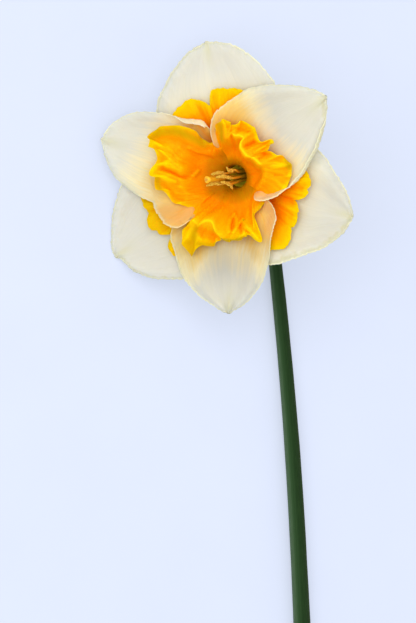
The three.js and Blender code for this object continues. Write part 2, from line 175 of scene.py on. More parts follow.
NOT_ROLLED = (0, 1, 0, 1, 2, 3)
ROLL_ANGLE = 2.9  # radians that a full roll turns through
ROLL_FLATNESS = 0.42
TURNED_WIDTH = 8  # how much of the margin is turned up
CURLED_WIDTH = 4  # and how much bends back where it isn't
PLEATS_START = (14, 34)  # pleats, broad waves and the curl set in between these distances
WAVES_START = (18, 44)
CURL_START = (16, 26)
CRIMP = 0.13  # how finely ragged the margins are
TIP_LENGTH = 0.4  # how far the point at the tip stands out
TIP_WIDTH = 1.3  # and its half width, as an angle
KEEL_DEPTH = 0.7
KEEL_SPREAD = 5  # the square of its half width
RAY_CROWDING = 1.3  # the power that brings rays closer together at the tip
ROW_CROWDING = 0.85  # and rows at the edge

# A point that is raised by 1 stays at its place in the picture if it also moves by this much,
# sideways and upwards. Outlines were read off the picture for unruffled petals.

SIGHT = np.array((0.366, 0.105, 1.0))

# Outer segments of the corona: the rim's outline as angle and distance, the cusped notches in it
# as angle, depth and width, and how olive the segment is. Its middle stands off the sepal: half
# of that part as an angle, and the angle over which it fades.

STANDING = (26, 12)
OUTER_SEGMENTS = {
    "corona_outer_top": dict(
        azimuth=96, seed=11, olive=0, notches=[(8.2, 3.4, 1.8), (-27, 1.2, 2.5), (16, 0.9, 1.8)],
        rim=[(-55, 27), (-37, 32.6), (-22, 33.8), (-8, 34.2), (1, 34.2), (7.6, 32.6), (9, 31),
             (14, 32.2), (20, 33.6), (34, 33), (55, 28)],
    ),
    "corona_outer_left": dict(
        azimuth=212.5, seed=12, olive=0.4,
        notches=[(-10.5, 1, 1.8), (1, 1.6, 1.6), (9.5, 2, 2), (-31, 1.4, 3)],
        rim=[(-56, 29), (-35, 35), (-20, 36.8), (-12, 36), (-4, 38.2), (0, 37.6), (5, 35.4),
             (9.5, 34.2), (12, 36.2), (18, 37.2), (24, 36.6), (35, 33), (62, 27)],
    ),
    "corona_outer_right": dict(
        azimuth=343, seed=13, olive=0,
        notches=[(-0.7, 3.0, 1.4), (-21, 1.8, 1.8), (-42, 1.4, 2.5), (9, 0.7, 1.8)],
        rim=[(-63, 28), (-45, 32.4), (-31, 33.8), (-23, 32.4), (-15, 30.9), (-6.6, 29.8), (-2.6, 29),
             (1.2, 30), (5, 31.7), (9.5, 32.2), (15, 32.3), (20, 31.6), (25, 30.3), (54, 26)],
    ),
}

# Inner segments of the corona, by rays from the clockwise side to the other. Each has the angle
# from the middle, the distance and the height of the crest of the cup, the same of the rim, and
# how far the sheet dips between them. ruffles counts the half waves along the rim, from phase on,
# and ruffle and frill are the heights of broad and fine ones. folds are ridges, or hollows below
# zero: height, half width, and points of the line as angle and distance; ridges are also painted
# yellower and hollows deeper orange, as light and shade. painted_shade_streaks are olive streaks of
# painted shade on margins that turn over and on undersides: half width and points. gold is how
# yellow the ruffles are. The throat's greener colour, painted darker deeper down as shade, ends at
# the distance shade.

INNER_SEGMENTS = {
    "corona_inner_upper": dict(
        azimuth=37.3, seed=21, shade=9.6, gold=0.3, ruffles=10, phase=0.6, ruffle=0.5, frill=0.5,
        rays=[
            (-62.8, 12, 0.6, -62.8, 14.6, 1.4, 0), (-57, 12.2, 1.8, -55, 20.3, 4.6, 0),
            (-45, 14, 4, -46.6, 23.6, 5.8, 0.3), (-35, 15.7, 5.6, -37.2, 26, 6.4, 0.5),
            (-27, 16.9, 7, -29, 27, 7, 0.6), (-20, 17.2, 8.3, -21, 27.1, 8, 0.8),
            (-14.6, 16, 9.4, -16, 24.9, 8.5, 1.4), (-6, 15.3, 10, -10, 23, 9, 2),
            (-0.2, 14.5, 10.2, -6.8, 20.1, 9.3, 1.6), (4, 13.8, 10.3, -3.1, 22.8, 9, 2),
            (8.5, 13.5, 10.4, 0, 25.2, 8.6, 2), (15.2, 13.9, 10.4, 2.6, 22.1, 9, 2),
            (21.1, 14.7, 10.4, 6.5, 21.3, 9.2, 2.2), (23.7, 16.3, 10.2, 12.5, 22.8, 9.4, 1.6),
            (23.3, 18.1, 10, 20.1, 23.8, 9.4, 1.6), (28.3, 18.3, 9.6, 28.1, 24.2, 9.4, 1.8),
            (34.9, 17.6, 9.2, 34.4, 23.1, 9.4, 1.8), (40.7, 18.1, 9, 39.2, 20.8, 9.6, 0.6),
            (44.3, 16.7, 8.8, 44.8, 22.5, 9, 1), (50.1, 15.9, 8, 52.3, 22.8, 8.6, 1),
            (59, 14.4, 5, 60.6, 21.1, 7, 0.6), (64, 13, 2.4, 65, 18, 4.4, 0.2),
            (68.7, 12, 0.8, 68.7, 14.6, 2.4, 0),
        ],
        folds=[
            (-1.3, 0.9, [(15, 16.3), (11, 19)]), (-1.1, 0.8, [(24, 21), (34, 20)]),
            (0.7, 0.8, [(-23, 20), (-25, 25)]), (-0.7, 0.9, [(-33, 20), (-33, 24.5)]),
            (0.7, 0.8, [(50, 17), (51, 21)]), (-0.8, 0.7, [(-9, 17), (-7, 19.5)]),
            (0.8, 0.6, [(2, 17), (0, 24)]), (-0.7, 0.7, [(41, 19), (40, 21)]),
            (0.6, 0.7, [(-14, 18.5), (-14, 23.5)]), (0.5, 1.6, [(46, 15.5), (40, 14.5)]),
        ],
        painted_shade_streaks=[(1.6, [(57, 21), (56, 15.5)]), (1.6, [(-20, 26.5), (-28, 26)])],
    ),
    "corona_inner_left": dict(
        azimuth=163, seed=22, shade=15, gold=-0.08, ruffles=8, phase=2.1, ruffle=0.35, frill=0.4,
        rays=[
            (-57, 12, 0.8, -57, 14.6, 2.4, 0), (-50, 12.2, 1.2, -50, 14.8, 2.8, 0),
            (-43, 12.4, 2, -44.5, 15.2, 3.6, 0), (-38, 13, 3.6, -44.6, 17.2, 6, 0),
            (-33, 13.8, 5.5, -45.1, 19.4, 8, 0.4), (-28.3, 15.4, 7, -43.8, 21.6, 9.5, 0.8),
            (-26, 17.9, 8.5, -39.4, 24.1, 10.5, 0.8), (-22.6, 19.9, 9, -32.1, 27.2, 11.5, 0.8),
            (-19, 20.9, 9, -25.8, 30.3, 12.5, 0.8), (-16, 21.2, 9, -21.5, 31.3, 13, 0.7),
            (-13.6, 21.1, 9, -16.6, 32.9, 13, 0.7), (-11.7, 20.8, 9, -12.2, 32.1, 13, 0.6),
            (-8.8, 20.3, 9, -8.6, 31, 13, 0.6), (-6.9, 20, 9, -6.7, 29.8, 12, 0.3),
            (-3.9, 19.3, 8.6, -0.5, 27.5, 10, 0.2), (-0.9, 18.6, 8.4, 3.6, 27.2, 10.5, 0.4),
            (2.3, 18, 8.2, 7.7, 28.5, 11, 0.5), (6, 17.9, 8, 12, 28.7, 11, 0.4),
            (11, 17.8, 7.6, 15.5, 27, 10, 0), (16, 18, 7, 19.2, 27.4, 9.5, 0),
            (21.3, 18, 6.2, 25, 27.7, 8, 0), (26.4, 18, 5.4, 27.2, 25.9, 7, 0),
            (31, 17.8, 4.4, 32.2, 24.3, 6, 0), (36.7, 16.8, 3.4, 38.3, 23, 5, 0),
            (43, 15.4, 2.6, 44.2, 21.8, 4, 0), (49, 14.2, 1.8, 49.2, 20.2, 3, 0),
            (54, 13, 1.2, 54, 19, 2.6, 0),
        ],
        folds=[
            (1.7, 1.9, [(0.9, 22.7), (2.5, 19.1), (3.6, 17.2)]),
            (1.1, 1.2, [(8.5, 28.3), (4.1, 26.5), (1.5, 23.5)]),
            (-1.5, 0.9, [(5.8, 24.2), (8.6, 21), (11.8, 18.2), (14, 16)]),
            (0.9, 0.9, [(13.8, 26.2), (17.1, 22.7), (19.6, 20.5)]),
            (-1.0, 1.0, [(21.5, 24.2), (33, 22.2), (40, 20)]), (0.6, 1.2, [(27, 19), (36, 17.6)]),
            (1.0, 0.5, [(12.5, 14), (3.5, 12.9)]),
            (-1.4, 1.7, [(-17.2, 28.3), (-23.1, 22.9), (-25.8, 18.2), (-31.5, 13.5)]),
            (0.3, 2, [(-4.7, 26.5), (-5.3, 22.8)]),
            (-0.9, 1.9, [(-23, 20), (-13, 20.8)]),
        ],
        painted_shade_streaks=[
            (2.2, [(-15.5, 31.7), (-21, 30), (-27.5, 26.6), (-32.6, 23.1), (-37.4, 19.4), (-41.1, 16.5)]),
            (1.4, [(18, 26.3), (24.4, 26.2)]),
        ],
    ),
    "corona_inner_lower": dict(
        azimuth=269, seed=23, shade=13, gold=0.55, ruffles=10, phase=4.0, ruffle=0.4, frill=0.5,
        rays=[
            (-52, 13, 1.2, -52, 19, 2.6, 0), (-48.5, 16.5, 3, -48, 21, 3.8, 0),
            (-44, 19.5, 6, -44, 23.6, 6, 0.4), (-40.6, 20.6, 8, -39.7, 25.2, 7.5, 0.8),
            (-37.8, 19.4, 9, -37.5, 28.2, 8, 1.4), (-33.4, 19.5, 9, -33.5, 30.5, 8, 1.4),
            (-30.5, 19.5, 9, -28.4, 31.8, 7, 1.4), (-28.2, 18, 9.5, -25, 32.2, 6.5, 1.4),
            (-25.2, 16.9, 9.8, -23.4, 28.9, 8, 1.6), (-20.2, 16, 10, -20, 26.9, 8, 1.8),
            (-14.9, 16, 10, -14.7, 26.5, 8, 1.8), (-11.5, 17.7, 10, -10.7, 25.2, 8, 1.6),
            (-8.7, 19.4, 10, -7.2, 23.2, 8.4, 1.2), (-4.9, 20.8, 10, -3.9, 22.4, 8, 0.4),
            (0.1, 21.8, 10, 1.1, 23, 7.6, 0), (6.8, 22.3, 9.6, 8, 23.4, 7.6, 0),
            (12.6, 22.6, 9.4, 13.8, 23.6, 7.6, 0), (17.7, 22, 9.4, 18.9, 23.4, 8, 0),
            (22.3, 20.8, 9, 22.9, 22.8, 8, 0.4), (25.7, 20.3, 8.6, 25.8, 23.4, 8, 0.4),
            (28.3, 22.2, 8, 28, 25.7, 7, 0.2), (30, 22.8, 7.2, 31.1, 27.1, 6.4, 0),
            (34, 18.4, 5, 34, 21, 5, 0), (40, 15, 3.4, 40, 17.2, 3.6, 0),
            (50, 12.8, 1.6, 50, 16.6, 2.6, 0), (65.5, 12, 0.6, 63.5, 17.2, 2.4, 0),
        ],
        folds=[
            (1.0, 0.6, [(6.3, 13.8), (2.7, 15.6), (2.6, 17.8), (4.4, 19.5)]),
            (1.0, 0.6, [(6.3, 13.8), (10.5, 16.1), (11.4, 18.3), (9.3, 19.8)]),
            (-1.1, 0.9, [(5.4, 15.4), (6.1, 18.8)]),
            (1.0, 0.6, [(12, 19.2), (14, 17.6), (19.4, 16.5)]),
            (1.2, 0.6, [(19.4, 16.5), (25.4, 18.4), (28.2, 20.8), (29, 23.3), (29.8, 25.9)]),
            (-1.5, 1.0, [(16.5, 18.2), (19.5, 20.8)]), (-1.2, 0.9, [(24, 20.4), (26.4, 22)]),
            (0.7, 1.3, [(-35, 22), (-35, 29)]), (-2.2, 2.4, [(-27, 21), (-20, 23), (-13, 22)]),
            (1.1, 2.2, [(-10, 13.3), (-7.2, 15.8), (-4, 19.3)]),
        ],
        painted_shade_streaks=[
            (1.8, [(-31.7, 21.7), (-30.6, 25.9), (-28.3, 29.3), (-25.4, 31.6)]),
            (2.2, [(-31, 28.5), (-26, 31.8)]), (1.4, [(-22.6, 26.8), (-16, 26.5), (-10.8, 25.2)]),
            (0.9, [(-1.3, 22.4), (8.8, 23), (19.3, 23.2)]),
        ],
    ),
}

THROAT_RIM = (5.0, -4.6)  # radius and height where the throat opens into the cup
THROAT_FADE = 2.6  # how far below that the throat's green and its painted shade are full
BOWL_GOLD = 0.1  # how yellow the smooth bowl is
TUCK = 0.5  # how far the last column of points reaches under the next segment

# Shares of the way up an inner segment's sheet: base, rim of the throat, wall, crest, the start
# and the lowest place of the dip, and rim

SHEET_SHARES = [0, 0.14, 0.36, 0.60, 0.66, 0.82, 1]
WALL = np.array([[0.6], [0.56], [0.42]])  # angle, distance and height from throat to crest
DIP_START = np.array([[0.14], [0.14], [0]])  # and these from crest to rim
DIP_MIDDLE = 0.55  # all three of them at the lowest place
CREST_HIGHLIGHT = (0.615, 0.022)  # the painted highlight along the crest: share of the way up, and half width

# Stamens and style. The style leans from the height LEAN_START on.

THROAT_FLOOR = -19
STYLE_RADII = (0.6, 0.9)
SHAFT_END = 13.6
KNOB_START = 13.8
KNOB_MIDDLE = 15
KNOB_RADIUS = 1.25
STYLE_TOP = 16.2
LEAN = np.array((-4.2, 0.7))
LEAN_START = -12
STAMEN_RING = 1.95
FILAMENT_KNEE = -8  # the height up to which a filament stands straight up
FILAMENT_RADII = (0.8, 0.36)

# Each anther by the share of its length at which the filament joins it, and four points along it:
# sideways, upwards and forwards from the middle of the mouth

ANTHERS = {
    1: (0, [(2.6, 3.3, 2.4), (1.7, 3.2, 4.2), (1.1, 3.4, 5.6), (0.9, 4.7, 7)]),
    2: (0, [(-0.9, 2.0, 4), (-1.3, 2.5, 6.6), (-2.4, 2.6, 9.6), (-3.5, 2.3, 12.2)]),
    3: (0, [(-2.1, 0.2, 1), (-2.5, 0.4, 3.6), (-3.2, 0.6, 6.2), (-4.3, 1.0, 9)]),
    4: (0, [(-1.2, -1.7, 4), (-2.2, -1.5, 6.5), (-3.6, -1.3, 9.2), (-5.7, -1.9, 12)]),
    5: (0.4, [(1.2, -4.0, 2), (0.9, -2.4, 3.4), (0.1, -1.4, 5.8), (-1.2, -0.8, 8.4)]),
    6: (0, [(1.9, 0.2, 4), (1.1, 0.8, 6.4), (-0.4, 1.4, 9), (-1.8, 1.2, 11.6)]),
}

# The neck: radii of the outside of ovary and tube, and of the inside of the throat, at heights on
# the flower's axis. The ovary has lobes and the tube has ribs: depth by the radius, and number.

NECK_OUTSIDE = [
    (-28.5, 4.0), (-27, 4.6), (-25, 5.1), (-22.5, 5.3), (-20.5, 5.2), (-18.5, 5.8), (-15.5, 7.0),
    (-13.2, 8.3), (-11.9, 9.3), (-11.3, 9.2),
]
NECK_INSIDE = [(-9.3, 5.3), (-9.9, 4.8), (-11.5, 4.2), (-14, 3.5), (THROAT_FLOOR, 3.0)]
OVARY = (-24.5, 3)  # middle and half length
OVARY_LOBES = (0.05, 3)
TUBE = (-21, -17, -12.5, -11.8)  # the heights between which its ribs grow and fade
TUBE_RIBS = (0.035, 6)
COLOURED = (-30, -10)  # heights between which the neck goes through its colours
MOUTH_COLOUR = 0.999  # how far through them it is at the mouth
PEDICEL_RADII = (2.5, 3.1)
BEND_START = 8
BEND_END = (-39, -31)
JOINT_GAP = 0.3  # between pieces that meet end to end

# The stem, seen from above, relative to the flower's mouth. It rests on a foot at each end, and
# is arched a little between them.

STEM_TOP = np.array((27.2, -8.0))
STEM_BEND = np.array((39.5, -95.0))
STEM_END = np.array((45.5, -250.0))
STEM_TOP_RADIUS = 2.65
STEM_END_RADIUS = 4.0
STEM_SIDES_OF_SOLID = 12
STEM_ARCH = 0.8
STEM_SLIMNESS = 0.93  # the widest radius, by the radius of the solid
STEM_FLATTENING = 0.95  # the height of the middle over the flat underside, by the least radius
FOOT_SHARE = 0.14  # the length of a foot, by that of the stem

# Its two edges, broad ribs and fine ribs, as depth by the radius, and number. The cut end is a
# little hollow, by rings as the share of the stem's size and how far they are sunk in.

STEM_RIBS = [(0.05, 2), (0.018, 9), (0.01, 22)]
CUT_RINGS = [(0.02, 0.5), (0.45, 0.275), (0.8, 0)]

# The spathe, measured from the top of the stem

SPATHE_SPINE = [(3.1, -4, 1.95), (3.2, 4, 2), (4.6, 13, 2.8), (2.2, 25, 4.2), (-2.5, 36, 3)]
SPATHE_RADII = (3.4, 9)
SPATHE_HALF_WIDTHS = (3.2, 5.6)
SPATHE_TURN = 32
PAPER = 0.3


# Helpers for forms

def smooth(x, low, high):
    t = np.clip((x - low) / (high - low), 0, 1)
    return t * t * (3 - 2 * t)


def bell(x, middle, width):
    return np.exp(-(((x - middle) / width) ** 2))


def mix(a, b, share):
    return a + (b - a) * share


def wobble(x, seed):
    """A smooth irregular wave between about -1 and 1."""
    a, b, c = np.sin(seed * 12.9898), np.sin(seed * 78.233), np.sin(seed * 37.719)
    return (np.sin(x + 6 * a) + 0.6 * np.sin(2.3 * x + 6 * b) + 0.4 * np.sin(4.1 * x + 6 * c)) / 1.6


def hermite(knots, values, x):
    """A smooth curve through the values at the knots. Each value may be a row of numbers."""
    knots = np.asarray(knots, float)
    values = np.asarray(values, float)
    slopes = np.gradient(values, knots, axis=0)
    k = np.clip(np.searchsorted(knots, x) - 1, 0, len(knots) - 2)
    width = knots[k + 1] - knots[k]
    t = np.clip((x - knots[k]) / width, 0, 1)
    if values.ndim > 1:
        width, t = width[..., None], t[..., None]
    start = (2 * t**3 - 3 * t**2 + 1) * values[k] + (t**3 - 2 * t**2 + t) * width * slopes[k]
    end = (3 * t**2 - 2 * t**3) * values[k + 1] + (t**3 - t**2) * width * slopes[k + 1]
    return start + end


def through(points, x):
    knots, values = np.asarray(points, float).T
    return hermite(knots, values, x)


def unit(vectors):
    return vectors / np.maximum(np.linalg.norm(vectors, axis=-1, keepdims=True), 1e-9)


def from_head(points):
    """Points in the flower's own frame, in millimetres, as points in the row frame."""
    return points @ np.array(TURN).T + np.array(MOUTH)


def grid(rows, columns):
    """The share of the way up for each row, and the place from -1 to 1 for each column."""
    return np.linspace(0, 1, rows + 1)[:, None], np.linspace(-1, 1, columns + 1)[None, :]


def circle(sides):
    return np.linspace(0, 2 * np.pi, sides, endpoint=False)


def ring(centre, across, up, radii):
    """Points round a centre, with a radius for each."""
    angles = circle(len(radii))
    return centre + np.outer(radii * np.cos(angles), across) + np.outer(radii * np.sin(angles), up)


# Helpers for meshes

def add_object(name, data):
    obj = bpy.data.objects.new(name, data)
    bpy.context.scene.collection.objects.link(obj)
    return obj


def add_piece(name, points, faces, material, replaces, facts):
    """A smooth mesh in metres, with the named numbers kept on its points for the material."""
    mesh = bpy.data.meshes.new(name)
    mesh.from_pydata((points * MM).tolist(), [], faces)
    mesh.update()
    for key, values in facts.items():
        layer = mesh.attributes.new(key, "FLOAT", "POINT")
        layer.data.foreach_set("value", np.asarray(values, np.float32).ravel())
    for polygon in mesh.polygons:
        polygon.use_smooth = True
    mesh.materials.append(material)
    obj = add_object(name, mesh)
    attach(obj, "root")
    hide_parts(*replaces)


def grid_faces(rows, columns, first=0):
    i, j = np.meshgrid(np.arange(rows), np.arange(columns), indexing="ij")
    a = first + i * (columns + 1) + j
    return np.stack([a, a + columns + 1, a + columns + 2, a + 1], axis=-1).reshape(-1, 4)


def normals(middle):
    return unit(np.cross(np.gradient(middle, axis=0), np.gradient(middle, axis=1)))


def add_sheet(name, middle, thickness, material, replaces, facts):
    """A thin closed sheet round the grid of points middle, which faces the flower's axis."""
    rows, columns = middle.shape[0] - 1, middle.shape[1] - 1
    offset = normals(middle) * (thickness / 2)[..., None]
    points = np.concatenate([(middle + offset).reshape(-1, 3), (middle - offset).reshape(-1, 3)])
    index = np.arange(thickness.size).reshape(thickness.shape)
    border = np.concatenate([index[:-1, 0], index[-1, :-1], index[:0:-1, -1], index[0, :0:-1]])
    after = np.roll(border, -1)
    faces = np.concatenate([
        grid_faces(rows, columns),
        grid_faces(rows, columns, thickness.size)[:, ::-1],
        np.stack([after, border, border + thickness.size, after + thickness.size], axis=-1),
    ])
    facts = {key: [np.broadcast_to(values, thickness.shape)] * 2 for key, values in facts.items()}
    add_piece(name, points, faces.tolist(), material, replaces, facts)


def tapered(from_edge):
    """The thickness of a petal's sheet, which thins out towards its edge."""
    return mix(MARGIN, SHEET, smooth(from_edge, 0, THINNING))


def add_tube(name, rings, material, replaces, facts, flip=False):
    """A closed tube through rings of points."""
    index = np.arange(len(rings) * len(rings[0])).reshape(len(rings), -1)
    after = np.roll(index, -1, axis=1)
    faces = np.stack([index[:-1], after[:-1], after[1:], index[1:]], axis=-1).reshape(-1, 4).tolist()
    faces += [index[0, ::-1].tolist(), index[-1].tolist()]
    faces = [face[::-1] for face in faces] if flip else faces
    facts = {key: np.broadcast_to(values, index.shape) for key, values in facts.items()}
    add_piece(name, np.concatenate(rings), faces, material, replaces, facts)


# Helpers for materials

class Shader:
    """One material with a principled shader, and short calls for the nodes that feed it."""

    def __init__(self, name, **settings):
        self.material = bpy.data.materials.new(name)
        self.material.use_nodes = True
        self.nodes = self.material.node_tree.nodes
        self.links = self.material.node_tree.links
        self.surface = self.nodes["Principled BSDF"]
        for socket, value in settings.items():
            self.surface.inputs[socket.replace("_", " ")].default_value = value

    def node(self, kind, inputs, **settings):
        node = self.nodes.new(kind)
        for key, value in settings.items():
            setattr(node, key, value)
        for key, value in inputs.items():
            if isinstance(value, bpy.types.NodeSocket):
                self.links.new(value, node.inputs[key])
            else:
                node.inputs[key].default_value = value
        return node

    def fact(self, name):
        return self.node("ShaderNodeAttribute", {}, attribute_name=name).outputs["Fac"]

    def add(self, a, b):
        return self.node("ShaderNodeMath", {0: a, 1: b}, operation="ADD").outputs[0]

    def times(self, a, b):
        return self.node("ShaderNodeMath", {0: a, 1: b}, operation="MULTIPLY").outputs[0]

    def range(self, value, low, high, to_low=0.0, to_high=1.0):
        inputs = {"Value": value, "From Min": low, "From Max": high, "To Min": to_low, "To Max": to_high}
        return self.node("ShaderNodeMapRange", inputs).outputs["Result"]

    def noise(self, vector, scale, detail, roughness):
        inputs = {"Vector": vector, "Scale": scale, "Detail": detail, "Roughness": roughness}
        return self.node("ShaderNodeTexNoise", inputs).outputs["Fac"]

    def grain(self, scale, detail=2.0, roughness=0.5):
        """Noise in space, with about scale grains to the metre."""
        place = self.node("ShaderNodeTexCoord", {}).outputs["Object"]
        return self.noise(place, scale, detail, roughness)

    def streaks(self, across, count, along, scale, detail=2.0, roughness=0.5):
        """Noise that is fine across a piece, by count, and drawn out along it."""
        inputs = {0: self.times(across, count), 1: along}
        vector = self.node("ShaderNodeCombineXYZ", inputs).outputs[0]
        return self.noise(vector, scale, detail, roughness)

    def ramp(self, value, stops):
        node = self.node("ShaderNodeValToRGB", {"Fac": value})
        elements = node.color_ramp.elements
        while len(elements) < len(stops):
            elements.new(0.5)
        for element, (position, colour) in zip(elements, stops.items()):
            element.position = position
            element.color = linear(colour)
        return node.outputs["Color"]

    def blend(self, share, a, b, kind="MIX"):
        """A colour between a and b, which are sockets or sRGB colours. Sockets 6 and 7 take them."""
        a, b = (c if isinstance(c, bpy.types.NodeSocket) else linear(c) for c in (a, b))
        node = self.node("ShaderNodeMix", {0: share, 6: a, 7: b}, data_type="RGBA", blend_type=kind)
        return node.outputs[2]

    def tint(self, colour, value, low, high, share, tinge):
        """The colour with up to a share of the tinge in it, as the value goes from low to high."""
        return self.blend(self.range(value, low, high, 0.0, share), colour, tinge)

    def finish(self, colour, height=None, strength=0.0, distance=0.0):
        """The material with its colour, and bumps of the given height, strength and depth."""
        self.links.new(colour, self.surface.inputs["Base Color"])
        if height is not None:
            inputs = {"Height": height, "Strength": strength, "Distance": distance}
            normal = self.node("ShaderNodeBump", inputs).outputs["Normal"]
            self.links.new(normal, self.surface.inputs["Normal"])
        return self.material


def linear(colour):
    """An sRGB colour from 0 to 255 as linear numbers from 0 to 1, and opaque."""
    share = np.asarray(colour, float) / 255
    return (*np.where(share <= 0.04045, share / 12.92, ((share + 0.055) / 1.055) ** 2.4), 1)


# Materials

def tissue_material(name, stops):
    """White tissue with lengthwise veins, a golden base that runs out in streaks, partly its own gold
    and partly painted glow from the corona, a cream edge with a band of painted shade, and patches
    of painted shade and painted light.
    """
    shader = Shader(
        name, Roughness=0.6, Subsurface_Weight=0.6, Subsurface_Radius=(1.0, 0.8, 0.55),
        Subsurface_Scale=0.002, Specular_IOR_Level=0.25,
    )
    reach, vein = shader.fact("reach"), shader.fact("vein")
    streaks = shader.streaks(vein, 9, reach, 2.2)
    lines = shader.streaks(vein, 26, reach, 1.6, roughness=0.6)
    # The base colour runs from golden to white by reach, which the golden streaks shift: partly the tissue's
    # gold, partly painted glow of the corona's light.
    colour = shader.ramp(shader.add(reach, shader.range(streaks, 0.3, 0.7, 0.04, -0.04)), stops)
    colour = shader.tint(colour, lines, 0.35, 0.65, 0.16, (190, 188, 170))
    roll_back = shader.ramp(reach, {0.25: (252, 222, 180), 0.6: (206, 200, 170)})
    colour = shader.tint(colour, shader.fact("rolled"), 0.0, 1.0, 0.8, roll_back)
    colour = shader.blend(shader.fact("keel"), colour, (198, 194, 146))
    turned_up = shader.times(shader.fact("peach"), shader.range(streaks, 0.2, 0.8, 0.9, 0.5))
    colour = shader.blend(turned_up, colour, (238, 182, 108))
    # The band along the margins: pale cream at the very edge, and further in a darker cream that is painted
    # shade where the margin curls away.
    rim = shader.add(shader.fact("rim"), shader.range(shader.grain(550), 0.3, 0.7, -0.35, 0.35))
    rim = shader.times(shader.range(rim, 0.5, 1.2, 0.8, 0.0), shader.range(reach, 0.1, 0.6, 0.2, 1.0))
    rim_cream_and_shade = shader.ramp(shader.fact("edge"), {0.25: (240, 232, 188), 0.85: (198, 192, 158)})
    colour = shader.blend(rim, colour, rim_cream_and_shade)
    # Painted shade: the colour is blended towards black by the share that the tepal's brightness and its
    # patches give; patches below zero paint light.
    colour = shader.blend(shader.fact("shade"), colour, (0, 0, 0))
    return shader.finish(colour, shader.add(lines, shader.times(shader.grain(900), 0.25)), 0.3, 0.0004)


def sepal_material():
    return tissue_material("sepal_white", {
        0.30: (236, 216, 166), 0.52: (222, 215, 191), 0.80: (210, 207, 194),
    })


def petal_material():
    # The golden and orange stops near the base are partly the tissue's own colour and partly painted glow of
    # the corona's light.
    return tissue_material("petal_white", {
        0.05: (255, 146, 10), 0.20: (250, 168, 48), 0.30: (249, 196, 86),
        0.42: (249, 208, 118), 0.56: (246, 227, 178), 0.76: (210, 207, 192),
    })


def corona_material(name, stops, ribbing, painted_relief_strength):
    """Orange to yellow tissue, yellower on its rims and finely ribbed. Ridges are painted yellower and
    hollows deeper orange, as painted light and shade, with a painted highlight along the crest,
    olive streaks of painted shade, and a greener throat painted darker deeper down.
    """
    shader = Shader(
        name, Roughness=0.55, Subsurface_Weight=0.4, Subsurface_Radius=(1.0, 0.5, 0.05),
        Subsurface_Scale=0.0012, Specular_IOR_Level=0.03,
    )
    reach, edge = shader.fact("reach"), shader.fact("edge")
    ribs = shader.streaks(shader.fact("vein"), 30, reach, 1.5, roughness=0.6)
    patches = shader.grain(200, 3.0)
    # Painted light and shade: points that stand out are painted yellower and hollows deeper orange.
    depth = 0.26 * painted_relief_strength
    value = shader.add(reach, shader.range(shader.fact("painted_relief_and_gold"), -0.6, 0.6, -depth, depth))
    value = shader.add(value, shader.range(patches, 0.3, 0.7, -0.05, 0.05))
    value = shader.add(value, shader.range(edge, 0.0, 2.2, 0.22, 0.0))
    colour = shader.ramp(value, stops)
    colour = shader.tint(colour, ribs, 0.4, 0.7, 0.12 * ribbing, (244, 120, 0))
    # A painted highlight along the crest of the cup.
    colour = shader.blend(shader.fact("crest"), colour, (255, 214, 10))
    rim = shader.times(shader.range(edge, 0.4, 2.4, 1.0, 0.0), shader.range(patches, 0.4, 0.6))
    colour = shader.blend(shader.times(rim, 0.6), colour, (232, 192, 0))
    colour = shader.tint(colour, patches, 0.55, 0.75, 0.25, (222, 178, 0))
    # On inner segments the olive streaks are painted shade on turned-over margins and undersides.
    colour = shader.blend(shader.fact("olive"), colour, (196, 152, 0))
    # The throat: partly its own greener colour, and partly painted shade that darkens it deeper down.
    throat = shader.ramp(shader.fact("throat"), {
        0.0: (255, 255, 255), 0.2: (238, 250, 206), 0.5: (208, 228, 150), 0.75: (178, 206, 110),
        1.0: (176, 218, 120),
    })
    colour = shader.blend(1.0, colour, throat, "MULTIPLY")
    height = shader.add(ribs, shader.times(shader.grain(1100), 0.35))
    return shader.finish(colour, height, 0.5 * ribbing, 0.0005)


def inner_corona_material():
    return corona_material("corona_orange", {
        0.10: (255, 138, 0), 0.42: (255, 146, 0), 0.60: (255, 156, 0), 0.75: (255, 166, 0),
        0.88: (255, 182, 0), 1.0: (255, 206, 0),
    }, ribbing=0.9, painted_relief_strength=0.85)


def outer_corona_material():
    return corona_material("corona_yellow", {
        0.40: (250, 124, 0), 0.64: (252, 134, 0), 0.74: (252, 158, 0), 0.83: (252, 184, 0),
        1.0: (250, 198, 0),
    }, ribbing=0.4, painted_relief_strength=0.6)


def stem_material():
    """Dark green with fine lengthwise ribs, paler grey-green along its left edge and browner along its
    right, painted as the light and shade across it.
    """
    shader = Shader("stem_green", Roughness=0.55, Specular_IOR_Level=0.08)
    around, along = shader.fact("around"), shader.fact("along")
    ribs = shader.streaks(around, 60, along, 1.0)
    mottle = shader.streaks(around, 8, shader.times(along, 30), 1.4, 4.0)
    # Painted light and shade across the stem: paler grey-green at its left edge, dark green over the top,
    # browner at its right edge.
    colour = shader.ramp(shader.fact("side"), {
        0.0: (84, 108, 78), 0.14: (46, 74, 40), 0.4: (28, 54, 22), 0.75: (30, 52, 20),
        1.0: (56, 66, 32),
    })
    colour = shader.tint(colour, mottle, 0.35, 0.75, 0.4, (42, 70, 32))
    colour = shader.tint(colour, ribs, 0.4, 0.7, 0.35, (20, 40, 16))
    colour = shader.blend(shader.fact("cut"), colour, (168, 184, 120))
    return shader.finish(colour, ribs, 0.6, 0.0006)


